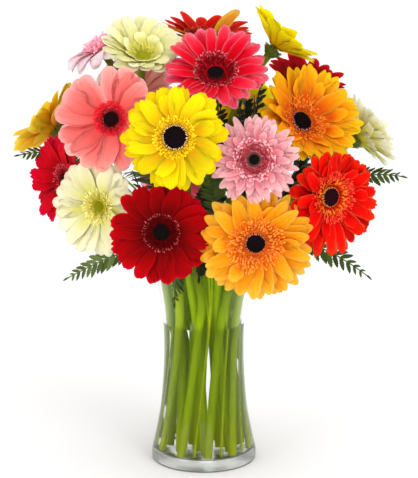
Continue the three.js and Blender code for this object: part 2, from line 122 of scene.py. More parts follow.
# A head may also be bare or longer in a direction, or have stray petals: direction, lift, reach and roll
HEADS = [
    head("yellow_centre", "yellow", (-24, -132, 336), (-0.05, -0.97, 0.2), 46, 14, 6, ("middle", 1), "loose"),
    head("pink_centre", "pink", (44, -122, 315), (0.05, -0.97, 0.2), 40, 14, 4, ("middle", 2), "double"),
    head("orange_low", "orange", (46, -115, 240), (0.03, -1, -0.04), 51, 12, 4, ("outer", 0), "ellipse",
         leave=0.5),
    head("red_low", "red", (-37, -110, 248), (-0.05, -0.97, 0.15), 46, 12, 2, ("outer", 9), "broad"),
    head("cream_left", "cream", (-93, -75, 265), (-0.5, -0.86, 0.06), 45, 16, 6, ("outer", 8), "smooth",
         leave=0.5),
    head("coral_left", "coral", (-81, -90, 346), (-0.25, -0.93, 0.25), 48, 18, 10, ("middle", 0), "wide",
         bare=(78, 112)),
    head("scarlet_right", "scarlet", (112, -86, 276), (0.5, -0.86, 0), 48, 16, 6, ("outer", 1), "curly",
         shift=(240, 0.13)),
    head("orange_right", "gold", (88, -44, 336), (0.4, -0.72, 0.57), 50, 26, 18, ("middle", 3), "pointed",
         shift=(0, 0.08)),
    head("hotpink_top", "hotpink", (11, -58, 382), (0, -0.71, 0.71), 47, 18, 8, ("inner", 0), "ridged"),
    head("cream_top", "ivory", (-56, -33, 395), (0.1, -0.62, 0.77), 41, 28, 16, ("inner", 2), "veined",
         shift=(170, 0.1), strays=((14, -3, 1.08, 10),)),
    head("crimson_left", "crimson", (-127, -24, 281), (-0.8, -0.57, 0.05), 42, 18, 8, ("outer", 7), "broad"),
    head("amber_left", "amber", (-143, 36, 320), (-0.75, 0.2, 0.62), 45, 14, 4, ("outer", 6), "goblet",
         shift=(60, 0.04)),
    head("pink_left", "blush", (-98, 35, 397), (-0.5, -0.25, 0.83), 37, 6, -28, ("middle", 6), "tuft",
         leave=0.5, arrive=0.42),
    head("red_top", "flame", (0, 28, 406), (0.05, -0.15, 0.98), 45, 16, 12, ("inner", 1), "round",
         leave=0.4, arrive=0.35, strays=((330, 32, 1.05, -50),)),
    head("yellow_top", "yellow", (66, -5, 402), (0.62, 0.12, 0.75), 39, 24, 14, ("middle", 4), "fan",
         shift=(90, 0.05)),
    head("darkred_right", "darkred", (98, 44, 360), (0.4, 0.5, 0.75), 42, 14, 6, ("middle", 5), "round"),
    head("cream_right", "cream", (146, 15, 314), (0.82, 0.25, 0.5), 41, 24, 12, ("outer", 2), "feathery"),
    head("coral_back", "coral", (-68, 92, 345), (-0.35, 0.8, 0.5), 46, 16, 6, ("outer", 5), "wide",
         leave=0.3),
    head("yellow_back", "yellow", (38, 104, 318), (0.25, 0.9, 0.35), 46, 16, 6, ("outer", 3), "loose"),
    head("hotpink_back", "hotpink", (-22, 100, 258), (-0.1, 1, 0.05), 44, 16, 6, ("outer", 4), "ridged"),
]

# How the petals of a head are cut and laid, and the florets round its eye.
# Lengths and half widths are shares of the head's radius, angles are in degrees
def head_form(counts=(18, 17), reaches=(1.0, 0.95), lifts=(0, 6), width=0.165, claw=0.36, belly=0.64,
              end=0.82, cut=0.14, power=2.6, teeth=0.02, groove=0.3, channel=0.1, wave=0.3, jitter=3,
              curl=8, sway=3, roll=7, eye=0.17, dark=1.0, crown=(0.22, 0.4), rows=4, florets=40,
              length=0.1, thin=0.015, swell=0.0, upright=(72, 50), hook=-40, behind=(0, 0.6, -4)):
    return SimpleNamespace(**locals())


FORMS = {
    "loose": head_form(
        counts=(18, 15, 4), reaches=(1.0, 0.93, 0.78), lifts=(0, 8, 16), width=0.168, jitter=4, curl=10,
        teeth=0.03, cut=0.16, power=2.4, roll=8, sway=4, eye=0.21, crown=(0.25, 0.38), rows=5, florets=44,
        length=0.065),
    "double": head_form(
        counts=(25, 23, 18, 12), reaches=(1.0, 0.9, 0.78, 0.64), lifts=(0, 6, 8, 16), width=0.11, end=0.74,
        cut=0.16, power=2.1, teeth=0.0, curl=10, eye=0.14, dark=0.84, crown=(0.18, 0.43), rows=5,
        length=0.09, thin=0.02, swell=1.0),
    "ellipse": head_form(
        counts=(24, 22, 6), reaches=(1.0, 0.94, 0.76), lifts=(0, 6, 12), width=0.16, belly=0.55, end=0.7,
        cut=0.18, power=2.0, teeth=0.0, groove=0.4, eye=0.16, crown=(0.2, 0.46), rows=8, florets=46,
        length=0.09, upright=(70, 40)),
    "broad": head_form(
        width=0.172, teeth=0.03, eye=0.15, crown=(0.18, 0.33), rows=6, florets=38, length=0.07, thin=0.01),
    "smooth": head_form(
        counts=(20, 18), width=0.172, teeth=0.012, jitter=4, eye=0.12, crown=(0.13, 0.32), rows=6,
        florets=30, length=0.085),
    "goblet": head_form(
        counts=(16, 15), lifts=(8, 14), width=0.195, teeth=0.012, jitter=5, crown=(0.2, 0.4), rows=5,
        florets=34, length=0.09, behind=(9, 0.66, 2)),
    "fan": head_form(
        counts=(15, 14), lifts=(4, 10), width=0.2, jitter=4, crown=(0.2, 0.4), rows=5, florets=34,
        length=0.09),
    "round": head_form(
        counts=(17, 16), lifts=(0, 7), width=0.16, end=0.78, cut=0.2, teeth=0.0, curl=5, power=2.3,
        eye=0.15, crown=(0.19, 0.4), rows=6, florets=38, length=0.08),
    "feathery": head_form(
        counts=(22, 20, 14), reaches=(1.0, 0.94, 0.78), lifts=(0, 9, 16), width=0.13, teeth=0.05, jitter=5,
        eye=0.12, crown=(0.13, 0.39), rows=7, florets=32, length=0.09, behind=(12, 0.6, 0)),
    "veined": head_form(
        counts=(19, 18, 7), reaches=(0.88, 0.84, 0.46), lifts=(7, 11, 24), width=0.19, groove=0.4, jitter=2,
        eye=0.12, crown=(0.12, 0.3), rows=5, florets=26, length=0.12),
    "wide": head_form(
        counts=(16, 15), width=0.2, cut=0.12, power=3.0, teeth=0.012, groove=0.2, eye=0.13,
        crown=(0.15, 0.29), rows=7, florets=42, length=0.06, thin=0.016, swell=0.3),
    "curly": head_form(
        counts=(24, 23, 6), reaches=(1.0, 0.94, 0.7), lifts=(0, 6, 18), width=0.13, jitter=4, curl=12,
        crown=(0.21, 0.44), rows=9, florets=48, thin=0.014, upright=(64, 36)),
    "pointed": head_form(
        counts=(26, 24, 8), reaches=(1.0, 0.95, 0.74), lifts=(0, 6, 12), width=0.16, end=0.7, cut=0.2,
        power=1.9, teeth=0.0, groove=0.42, jitter=4, eye=0.18, crown=(0.22, 0.43), rows=7, florets=44,
        length=0.075),
    "ridged": head_form(
        counts=(22, 21), width=0.13, end=0.8, groove=0.4, teeth=0.0, curl=10, eye=0.15, crown=(0.19, 0.41),
        rows=7, florets=44, length=0.07, thin=0.011, upright=(74, 60)),
    "tuft": head_form(
        counts=(15, 13), width=0.21, teeth=0.0, groove=0.2, jitter=6, eye=0.1, crown=(0.02, 0.31), rows=9,
        florets=28, length=0.2, thin=0.03, swell=0.5, upright=(88, 62)),
}

# Colours as they look on a screen, in percent of red, green and blue. Petal: base, body, tip, edge and
# streaks. The base is the petal's own deeper colour, darkened further as painted shade where petals overlap
# near the eye; the edge is a paler rim, but on coral a darker one, painted shade in the gaps between petals.
# Under: the underside's base and tip, which fade into each other between two shares of its length.
# Feet and ends of the florets: next to the eye and at the petals, where the ends turn from one to the
# other on the way. Button: the teeth round the eye, the eye, and its rim
def palette(slot, petal, under, feet, ends, button, fade=(0.2, 0.8), turn=(0.0, 1.0)):
    return SimpleNamespace(**locals())


PALETTES = {
    "yellow": palette(
        slot="yellow", petal=((92, 64, 0), (92, 79, 0), (95, 87, 0), (100, 94, 10), (88, 68, 0)),
        under=((100, 74, 0), (100, 90, 0)), feet=((88, 64, 0), (95, 80, 0)),
        ends=((97, 84, 10), (100, 92, 8)), button=((96, 85, 60), (5, 0, 2), (10, 2, 3))),
    "pink": palette(
        slot="pink", petal=((90, 40, 46), (94, 52, 56), (97, 69, 71), (100, 88, 86), (85, 50, 52)),
        under=((90, 60, 60), (97, 76, 76)), feet=((46, 8, 12), (76, 18, 27)), turn=(0.25, 0.75),
        ends=((72, 22, 28), (100, 74, 76)), button=((60, 32, 28), (4, 2, 1), (40, 27, 22))),
    "orange": palette(
        slot="orange", petal=((94, 36, 0), (99, 57, 3), (100, 67, 12), (100, 77, 32), (94, 45, 0)),
        under=((96, 50, 5), (100, 64, 12)), feet=((80, 28, 3), (95, 45, 1)),
        ends=((98, 60, 24), (100, 66, 14)), button=((92, 55, 42), (5, 0, 2), (16, 2, 4))),
    "gold": palette(
        slot="orange", petal=((90, 30, 0), (100, 55, 0), (100, 71, 2), (100, 80, 25), (94, 44, 0)),
        under=((98, 55, 2), (100, 70, 8)), feet=((76, 24, 2), (95, 44, 0)),
        ends=((97, 54, 18), (100, 63, 6)), button=((80, 50, 46), (3, 0, 1), (14, 2, 4))),
    "amber": palette(
        slot="amber", petal=((93, 45, 0), (100, 64, 2), (100, 79, 12), (100, 87, 30), (95, 52, 0)),
        under=((100, 56, 0), (100, 78, 8)), feet=((70, 25, 2), (88, 40, 2)),
        ends=((97, 55, 10), (100, 66, 12)), button=((82, 60, 42), (6, 2, 2), (20, 5, 3))),
    "red": palette(
        slot="red", petal=((40, 0, 1), (58, 0, 1), (68, 0, 2), (74, 3, 5), (44, 0, 1)),
        under=((50, 1, 3), (62, 2, 5)), feet=((12, 0, 0), (45, 0, 3)), turn=(0.6, 0.95),
        ends=((30, 0, 2), (92, 42, 42)), button=((25, 0, 2), (3, 1, 1), (12, 0, 1))),
    "scarlet": palette(
        slot="scarlet", petal=((78, 0, 0), (92, 1, 0), (94, 7, 2), (100, 30, 18), (72, 0, 0)),
        under=((90, 16, 8), (98, 24, 15)), feet=((80, 22, 2), (85, 5, 3)), turn=(0.12, 0.42),
        ends=((100, 58, 16), (100, 33, 22)), button=((95, 68, 30), (14, 0, 4), (32, 3, 8))),
    "flame": palette(
        slot="scarlet", petal=((60, 0, 0), (72, 0, 1), (80, 6, 2), (95, 40, 10), (60, 0, 0)),
        under=((90, 40, 5), (98, 52, 10)), feet=((30, 0, 0), (55, 0, 2)),
        ends=((50, 2, 2), (90, 35, 20)), button=((40, 2, 2), (5, 0, 1), (20, 0, 2))),
    "darkred": palette(
        slot="darkred", petal=((44, 0, 1), (60, 0, 2), (70, 0, 3), (76, 4, 7), (50, 0, 1)),
        under=((50, 2, 3), (64, 2, 4)), feet=((15, 0, 0), (40, 0, 3)),
        ends=((30, 0, 2), (75, 25, 28)), button=((25, 0, 2), (3, 0, 1), (12, 0, 2))),
    "cream": palette(
        slot="cream", petal=((92, 90, 40), (97, 94, 68), (99, 97, 80), (100, 98, 92), (92, 88, 60)),
        under=((86, 86, 6), (100, 99, 80)), feet=((70, 64, 5), (94, 89, 50)), fade=(0.4, 0.92),
        ends=((93, 87, 20), (100, 97, 70)), button=((85, 78, 10), (50, 50, 3), (75, 70, 8))),
    "ivory": palette(
        slot="cream", petal=((90, 87, 42), (97, 95, 60), (99, 98, 77), (100, 99, 86), (86, 85, 50)),
        under=((93, 89, 42), (100, 96, 74)), feet=((66, 66, 8), (86, 84, 32)),
        ends=((88, 85, 25), (96, 94, 62)), button=((80, 76, 20), (60, 60, 6), (78, 75, 15))),
    # Coral's petal edge is darker than its body: painted shade for the gaps between overlapping petals.
    "coral": palette(
        slot="coral", petal=((97, 33, 32), (100, 42, 40), (99, 51, 48), (90, 34, 33), (94, 34, 33)),
        under=((100, 55, 48), (100, 68, 62)), feet=((45, 0, 3), (84, 2, 10)),
        ends=((78, 0, 8), (98, 16, 24)), button=((40, 0, 5), (8, 0, 2), (22, 0, 3))),
    "hotpink": palette(
        slot="hotpink", petal=((78, 0, 6), (90, 3, 14), (96, 21, 30), (100, 45, 52), (84, 0, 12)),
        under=((95, 30, 38), (98, 42, 50)), feet=((20, 0, 2), (50, 0, 4)), turn=(0.5, 0.9),
        ends=((40, 0, 4), (100, 60, 63)), button=((40, 2, 5), (5, 1, 1), (22, 2, 3))),
    "crimson": palette(
        slot="crimson", petal=((62, 0, 4), (80, 0, 7), (76, 0, 9), (86, 8, 16), (64, 0, 5)),
        under=((66, 6, 14), (74, 8, 17)), feet=((50, 0, 3), (75, 2, 8)),
        ends=((80, 20, 25), (96, 50, 55)), button=((60, 14, 16), (8, 1, 2), (30, 2, 4))),
    "blush": palette(
        slot="pink", petal=((97, 64, 70), (100, 80, 83), (100, 90, 92), (93, 68, 73), (88, 62, 68)),
        under=((100, 80, 85), (100, 90, 93)), feet=((93, 50, 58), (95, 60, 68)),
        ends=((98, 68, 75), (99, 78, 84)), button=((93, 50, 58), (85, 40, 48), (90, 50, 56))),
}

# The ferns: a stalk, a thin rib and pairs of leaflets
STALK_RADIUS = 1.25
RIB_RADIUS = 0.55
PINNA_PAIRS = 13
PINNA_SWEEP = 0.95
PINNA_CROWDING = 0.82
PINNA_DROOP = 0.16
PINNA_LEAST = 3
PINNA_TIP = 7
PINNA_START = 0.28
PINNA_FULLNESS = 0.7
PINNA_TEETH = 6
PINNA_HALF = 0.18
SPRAY_PINNA_HALF = 0.27


def frond(name, root, tip, heading, leave, arrive, start, half, roll=0):
    """One frond from its root to its tip, with the start, half width and roll of its row of leaflets."""
    return SimpleNamespace(**locals())


# The fronds, as in the CAD: the root is a place between two slots of the outer ring
FRONDS = [
    frond("left_low", 7.5, (-129, -30, 187), (-1, -0.05, -0.55), 92, 62, 0.5, 17, -45),
    frond("right_low", 1.5, (155, -36, 190), (1, -0.2, -0.75), 90, 80, 0.5, 17, 45),
    frond("right_mid", 2.5, (186, -27, 284), (0.96, -0.4, -0.11), 97, 69, 0.6, 16, 40),
    frond("left_mid", 6.5, (-176, -1, 300), (-0.52, -0.27, -0.08), 124, 77, 0.62, 15, -38),
    frond("front_hanging", 9.5, (-27, -64, 171), (0, 0.1, -1), 84, 66, 0.62, 14),
    frond("front_upright", 0.5, (6, -92, 305), (0, -0.5, 1), 60, 50, 0.58, 14),
    frond("back_left", 5.5, (-80, 122, 262), (-0.31, 0.84, -0.26), 106, 72, 0.5, 17),
    frond("back_right", 3.5, (82, 112, 262), (0.5, 0.8, -0.4), 100, 60, 0.5, 17),
]

# Side fronds that reach into the gaps between the heads, coloured near black as painted shade: the root is
# the number of the frond they leave
SPRAYS = [
    frond("left_inner", 0, (-64, -42, 288), (-0.3, -0.2, 0.9), 50, 50, 0.35, 15),
    frond("front_inner", 4, (2, -58, 284), (0.1, -0.2, 0.95), 50, 50, 0.6, 15),
    frond("middle_tall", 5, (34, -34, 352), (0.1, -0.1, 1), 60, 60, 0.45, 15),
    frond("right_tall", 2, (54, -18, 380), (0.1, 0, 1), 60, 60, 0.5, 14),
    frond("right_inner", 1, (98, -46, 312), (0.3, -0.1, 0.9), 50, 50, 0.4, 18),
    frond("left_tall", 3, (-98, -18, 318), (-0.3, 0, 0.9), 60, 60, 0.45, 15),
    frond("left_wide", 4, (-48, -50, 282), (-0.5, -0.2, 0.8), 45, 45, 0.4, 15, 30),
    frond("middle_wide", 4, (16, -26, 350), (0.1, -0.2, 1), 60, 60, 0.5, 17),
    frond("right_wide", 1, (88, -54, 312), (0.05, -0.1, 1), 50, 50, 0.45, 20),
    frond("front_low", 4, (-4, -66, 196), (-0.1, -0.3, -1), 84, 50, 0.64, 11, 25),
    frond("high_left", 5, (40, -4, 362), (0, 0, 1), 60, 60, 0.5, 20),
    frond("high_right", 2, (48, 8, 352), (0, 0, 1), 60, 60, 0.5, 20, 20),
]

# The camera stands where the photograph was taken from
CAMERA_TARGET = (5, 0, 218.6)
CAMERA_DISTANCE = 1500
CAMERA_ELEVATION = 12
CAMERA_LENS = 117.6

# The studio, in metres: a white surround, a wide floor, a far light and three soft lamps.
# Each light has its place, then its spread in degrees or its size, then its power
SURROUND = 0.98
FLOOR_REACH = 40.0
FAR_LIGHT = ((1.1, -1.5, 2.2), 60, 0.4)
SOFT_LAMPS = {
    "key": ((1.5, -2.2, 1.7), 1.0, 16),
    "fill": ((-2.0, -2.0, 0.6), 1.4, 18),
    "front": ((0.2, -2.6, 0.15), 1.4, 18),
}
LAMP_TARGET = (0, 0, 0.25)


# Small sums with vectors

def unit(vector):
    vector = np.asarray(vector, float)
    return vector / np.linalg.norm(vector)


def polar(radius, degrees, height):
    angle = radians(degrees)
    return np.array([radius * cos(angle), radius * sin(angle), height])


def lerp(a, b, share):
    return a + (b - a) * share


def smooth(value, start=0, length=1):
    """Rises gently from 0 to 1 over a length from its start."""
    share = np.clip((value - start) / length, 0, 1)
    return share * share * (3 - 2 * share)


def bezier(a, b, c, d, steps):
    t = np.linspace(0, 1, steps)[:, None]
    return a * (1 - t) ** 3 + 3 * b * t * (1 - t) ** 2 + 3 * c * t * t * (1 - t) + d * t ** 3


def turned(vector, axis, degrees):
    """The vector turned about a unit axis."""
    angle = radians(degrees)
    cross = np.cross(axis, vector)
    return vector * cos(angle) + cross * sin(angle) + axis * (axis @ vector) * (1 - cos(angle))


def swung(a, b, angle):
    """Two coordinates turned by an angle."""
    return a * np.cos(angle) - b * np.sin(angle), a * np.sin(angle) + b * np.cos(angle)


def slot_line(ring, slot):
    """The foot and the top of the straight part of a stem in a slot of a ring."""
    count, foot, top, start, turn = RINGS[ring]
    azimuth = start + slot * 360 / count
    return polar(foot, azimuth - turn / 2, FOOT_HEIGHT), polar(top, azimuth + turn / 2, STRAIGHT_TOP)


def directions(path):
    steps = np.gradient(path, axis=0)
    return steps / np.linalg.norm(steps, axis=1)[:, None]


# Meshes

FIELDS = ("along", "across", "tone", "under")


def new_object(name, data):
    made = bpy.data.objects.new(name, data)
    bpy.context.scene.collection.objects.link(made)
    return made


class Form:
    """Collects closed shells and the fields that the materials read."""

    def __init__(self, spec=None):
        """The points come in a head's own frame if its spec is given, and else in the bouquet's."""
        self.spec = spec
        self.points = []
        self.faces = []
        self.fields = {field: [] for field in FIELDS}
        self.size = 0

    def add(self, points, faces, **fields):
        self.points.append(placed(self.spec, points) if self.spec else points)
        self.faces.extend((face + self.size).tolist() for face in faces)
        for field in FIELDS:
            value = fields.get(field, 0.0)
            self.fields[field].append(np.broadcast_to(value, len(points)).astype(float))
        self.size += len(points)

    def add_blade(self, points, along, across, flipped=False):
        """Adds a thin blade, given the place of each point of its grid along and across it."""
        faces = blade_faces(*along.shape)
        if flipped:
            faces = [face[:, ::-1] for face in faces]
        under = both_sides(np.zeros(along.shape), np.ones(along.shape))
        self.add(points, faces, along=both_sides(along, along), across=both_sides(across, across),
                 tone=rng.uniform(), under=under)

    def add_tube(self, points, sides, along, **fields):
        """Adds a closed tube, given the place of each of its rings along it."""
        along = np.concatenate([np.repeat(along, sides), along[:1], along[-1:]])
        self.add(points, tube_faces(len(points) // sides, sides), along=along, **fields)

    def piece(self, name, material, slot, *nodes, sharp=60):
        """A Blender object in metres that rides on the root body."""
        mesh = bpy.data.meshes.new(name)
        faces = [tuple(face) for part in self.faces for face in part]
        mesh.from_pydata((np.vstack(self.points) * MM).tolist(), [], faces)
        for field, values in self.fields.items():
            layer = mesh.attributes.new(field, "FLOAT", "POINT")
            layer.data.foreach_set("value", np.concatenate(values))
        mesh.shade_smooth()
        mesh.set_sharp_from_angle(angle=radians(sharp))
        mesh.materials.append(material)
        made = new_object(name, mesh)
        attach(made, "root")
        if nodes:
            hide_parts(*nodes)
        return made


def quads(grid):
    """Faces of a grid of point numbers, rows by columns."""
    corners = (grid[:-1, :-1], grid[1:, :-1], grid[1:, 1:], grid[:-1, 1:])
    return np.stack([corner.ravel() for corner in corners], axis=1)


def blade_faces(rows, columns):
    """Faces of a thin closed blade: its upper and lower sides share their border."""
    upper = np.arange(rows * columns).reshape(rows, columns)
    lower = upper.copy()
    inner = np.arange((rows - 2) * (columns - 2)).reshape(rows - 2, columns - 2)
    lower[1:-1, 1:-1] = rows * columns + inner
    return quads(upper), quads(lower)[:, ::-1]


def both_sides(upper, lower):
    """Values of a blade's upper side, and of its lower side without the border that they share."""
    depth = upper.shape[2:]
    return np.concatenate([upper.reshape(-1, *depth), lower[1:-1, 1:-1].reshape(-1, *depth)])


def tube_faces(rows, sides):
    """Faces of a closed tube of rings, with one more point at each end."""
    ring = np.arange(rows * sides).reshape(rows, sides)
    ring = np.hstack([ring, ring[:, :1]])
    ends = ((ring[0], rows * sides), (ring[-1], rows * sides + 1))
    first, last = (np.stack([edge[:-1], edge[1:], np.full(sides, tip)], axis=1) for edge, tip in ends)
    return [quads(ring)[:, ::-1], first[:, ::-1], last]


def tube(path, side, radii, sides, flat=1.0, bulge=None):
    """Rings of points round a path, and the points in the middle of its two ends."""
    ahead = directions(path)
    side = np.broadcast_to(side, path.shape)
    side = side - ahead * np.sum(side * ahead, axis=1)[:, None]
    side = side / np.linalg.norm(side, axis=1)[:, None]
    up = np.cross(ahead, side)
    angle = np.arange(sides) * 2 * pi / sides
    reach = np.asarray(radii, float)[:, None] * (1 if bulge is None else bulge(angle)[None, :])
    rings = (path[:, None, :]
             + side[:, None, :] * (reach * np.cos(angle))[:, :, None]
             + up[:, None, :] * (reach * flat * np.sin(angle))[:, :, None])
    return np.vstack([rings.reshape(-1, 3), path[:1], path[-1:]])


def lathe(profile, segments):
    """A closed turned body: the profile runs from the axis out, round and back to the axis."""
    profile = np.asarray(profile, float)
    angle = np.arange(segments) * 2 * pi / segments
    wall = profile[1:-1]
    ring = np.stack([wall[:, :1] * np.cos(angle), wall[:, :1] * np.sin(angle),
                     np.repeat(wall[:, 1:], segments, axis=1)], axis=2)
    ends = np.array([[0, 0, profile[0, 1]], [0, 0, profile[-1, 1]]])
    return np.vstack([ring.reshape(-1, 3), ends]), tube_faces(len(wall), segments)


def catmull(points, steps):
    """A smooth line through the points."""
    points = np.asarray(points, float)
    padded = np.vstack([2 * points[0] - points[1], points, 2 * points[-1] - points[-2]])
    line = []
    for a, b, c, d in zip(padded, padded[1:], padded[2:], padded[3:]):
        for t in np.arange(steps) / steps:
            line.append(0.5 * (2 * b + (c - a) * t + (2 * a - 5 * b + 4 * c - d) * t ** 2
                               + (3 * b - a - 3 * c + d) * t ** 3))
    line.append(points[-1])
    return np.array(line)


# Materials

def linear(colour):
    """A screen colour in percent, as the renderer counts it."""
    shares = [part / 100 for part in colour]
    value = [c / 12.92 if c <= 0.04045 else ((c + 0.055) / 1.055) ** 2.4 for c in shares]
    return (*value, 1.0)


class Shader:
    """A material with one Principled surface and short ways to add nodes to it."""

    def __init__(self, name, **sockets):
        self.material = bpy.data.materials.new(name)
        self.material.use_nodes = True
        self.tree = self.material.node_tree
        self.surface = self.tree.nodes["Principled BSDF"]
        self.fields = {}
        for socket, value in sockets.items():
            self.surface.inputs[socket.replace("_", " ")].default_value = value

    def put(self, socket, value):
        """Sets a socket to a number or colour, or links it to another node's output."""
        if isinstance(value, bpy.types.NodeSocket):
            self.tree.links.new(value, socket)
        elif isinstance(value, tuple) and len(value) == 3 and socket.type == "RGBA":
            socket.default_value = linear(value)
        else:
            socket.default_value = value

    def node(self, kind, inputs, output=0, **settings):
        made = self.tree.nodes.new("ShaderNode" + kind)
        for name, value in settings.items():
            setattr(made, name, value)
        for name, value in inputs.items():
            self.put(made.inputs[name], value)
        return made.outputs[output]

    def field(self, name):
        """The output that gives a field of the mesh."""
        if name not in self.fields:
            self.fields[name] = self.node("Attribute", {}, "Fac", attribute_name=name)
        return self.fields[name]

    def sum(self, operation, a, b=0.0, clamp=False):
        return self.node("Math", {0: a, 1: b}, operation=operation, use_clamp=clamp)

    def noise(self, vector, scale, detail=2.0):
        return self.node("TexNoise", {"Vector": vector, "Scale": scale, "Detail": detail}, 0)

    def grain(self, scale, detail=2.0, **stretch):
        """Noise over fields of the mesh, each stretched by its own number."""
        parts = [self.sum("MULTIPLY", self.field(name), factor) for name, factor in stretch.items()]
        return self.noise(self.node("CombineXYZ", dict(enumerate(parts))), scale, detail)

    def cloud(self, scale):
        """Noise over the object's own space."""
        return self.noise(self.node("TexCoord", {}, "Object"), scale)

    def mix(self, factor, a, b):
        made = self.tree.nodes.new("ShaderNodeMix")
        made.data_type = "RGBA"
        for index, value in ((0, factor), (6, a), (7, b)):
            self.put(made.inputs[index], value)
        return made.outputs[2]

    def ramp(self, factor, stops):
        made = self.tree.nodes.new("ShaderNodeValToRGB")
        self.put(made.inputs[0], factor)
        points = made.color_ramp.elements
        while len(points) < len(stops):
            points.new(1.0)
        for point, (place, colour) in zip(points, stops):
            point.position = place
            point.color = linear(colour)
        return made.outputs[0]

    def spread(self, value, low, high, to_low=0.0, to_high=1.0):
        return self.node("MapRange", {0: value, 1: low, 2: high, 3: to_low, 4: to_high})

    def tinted(self, skin, colour, value, low, high, most):
        """The skin with another colour over it, more of it as the value goes from low to high."""
        return self.mix(self.spread(value, low, high, 0.0, most), skin, colour)

    def varied(self, skin, low, high):
        """The skin, darker on one petal or stem and lighter on the next."""
        value = self.spread(self.field("tone"), 0, 1, low, high)
        return self.node("HueSaturation", {"Color": skin, "Value": value})

    def bump(self, height, distance, strength):
        made = self.node("Bump", {"Height": height, "Distance": distance, "Strength": strength})
        self.put(self.surface.inputs["Normal"], made)

    def colour(self, value):
        self.put(self.surface.inputs["Base Color"], value)
        return self.material


RED_SLOTS = ("red", "scarlet", "darkred", "crimson", "hotpink")


def petal_material(name, colours):
    """Petal skin: base to tip colours with painted shade in the darker base, fine lengthwise streaks, a rim
    that is paler on most palettes and darker as painted shade on coral, and its own underside.
    """
    base, body, tip, edge, streak = colours.petal
    shine = 0.03 if colours.slot in RED_SLOTS else 0.06
    shader = Shader("petal_" + name, Roughness=0.62, Specular_IOR_Level=shine, Subsurface_Weight=0.6,
                    Subsurface_Scale=0.004, Subsurface_Radius=(1.0, 1.0, 1.0))
    along, across, tone, under = map(shader.field, FIELDS)
    place = shader.sum("ADD", along, shader.spread(tone, 0, 1, -0.1, 0.1))
    # The base colour is the petal's own deeper colour and also painted shade where the petals overlap near
    # the eye.
    skin = shader.ramp(place, [(0.0, base), (0.3, base), (0.6, body), (1.0, tip)])
    grain = shader.grain(1.6, 4.0, across=7.0, along=1.1, tone=60.0)
    skin = shader.tinted(skin, streak, grain, 0.46, 0.72, 0.6)
    # The rim takes the edge colour: a paler margin on most palettes, and on coral painted shade in the gaps
    # between petals.
    rim = shader.sum("POWER", shader.sum("ABSOLUTE", across), 8.0)
    skin = shader.mix(shader.sum("MULTIPLY", rim, 0.45), skin, edge)
    below = shader.mix(shader.spread(place, *colours.fade), *colours.under)
    skin = shader.mix(shader.sum("MULTIPLY", under, 0.85), skin, below)
    shader.bump(grain, 0.0006, 0.5)
    return shader.colour(shader.varied(skin, 0.84, 1.03))


def floret_material(name, colours):
    """The small florets: dark feet and paler ends, both changing from the eye out to the petals."""
    shine = 0.05 if colours.slot in RED_SLOTS else 0.2
    shader = Shader("floret_" + name, Roughness=0.5, Specular_IOR_Level=shine)
    along, out, tone = map(shader.field, FIELDS[:3])
    foot = shader.mix(out, *colours.feet)
    end = shader.mix(shader.spread(out, *colours.turn), *colours.ends)
    place = shader.sum("ADD", along, shader.spread(tone, 0, 1, -0.25, 0.15))
    skin = shader.mix(shader.spread(place, 0.35, 0.95), foot, end)
    speck = shader.grain(3.0, along=5.0, tone=1.0)
    shader.bump(speck, 0.0004, 0.5)
    return shader.colour(shader.tinted(skin, foot, speck, 0.5, 0.8, 0.4))


def ring_material(name, colours):
    """The short teeth over the edge of an eye."""
    shader = Shader("ring_" + name, Roughness=0.5, Specular_IOR_Level=0.15)
    speck = shader.grain(4.0, along=4.0, tone=1.0)
    shader.bump(speck, 0.0004, 0.5)
    return shader.colour(shader.tinted(colours.button[0], colours.feet[0], speck, 0.45, 0.75, 0.5))


def eye_material(name, colours):
    """The dense buds in the middle, nearly without shine, the colour of their outer rows, and a painted
    highlight that lightens each bud towards its tip.
    """
    shader = Shader("eye_" + name, Roughness=0.7, Specular_IOR_Level=0.12)
    along, out, tone = map(shader.field, FIELDS[:3])
    skin = shader.mix(shader.spread(out, 0.9, 1.06), *colours.button[1:])
    light = shader.node("HueSaturation", {"Color": skin, "Value": 1.7})
    skin = shader.tinted(skin, light, tone, 0, 1, 0.4)
    shader.bump(shader.grain(30.0, along=1.0, tone=1.0), 0.0003, 0.4)
    # Painted highlight: each bud turns lighter towards its tip.
    return shader.colour(shader.tinted(skin, light, along, 0.6, 1.0, 0.3))


def stem_material():
    """Juicy yellow-green stems with painted shade that darkens them above the vase, long fibres and small
    blotches.
    """
    shader = Shader("stem_green", Roughness=0.5, Specular_IOR_Level=0.1)
    # Painted shade: the stems turn dark along their upper part, above the vase, where the heads shade them.
    skin = shader.ramp(shader.field("along"), [(0.0, (84, 90, 2)), (0.15, (78, 90, 0)), (0.5, (72, 86, 0)),
                                               (0.72, (38, 48, 2)), (1.0, (27, 32, 5))])
    fibre = shader.grain(3.0, 4.0, across=6.0, along=9.0, tone=40.0)
    skin = shader.tinted(skin, (48, 64, 0), fibre, 0.45, 0.8, 0.4)
    skin = shader.tinted(skin, (86, 94, 10), fibre, 0.5, 0.2, 0.35)
    skin = shader.tinted(skin, (76, 74, 0), shader.field("tone"), 0.5, 1.0, 0.35)
    shader.bump(fibre, 0.0008, 0.6)
    return shader.colour(shader.varied(skin, 0.76, 1.08))


def calyx_material():
    """Dull green bracts with brownish tips."""
    shader = Shader("calyx_green", Roughness=0.6, Specular_IOR_Level=0.1)
    skin = shader.ramp(shader.field("along"), [(0.0, (30, 40, 8)), (0.6, (34, 44, 10)), (1.0, (50, 42, 20))])
    grain = shader.grain(6.0, 4.0, along=3.0, tone=30.0, across=1.0)
    shader.bump(grain, 0.0006, 0.6)
    return shader.colour(shader.tinted(skin, (20, 28, 5), grain, 0.4, 0.75, 0.6))


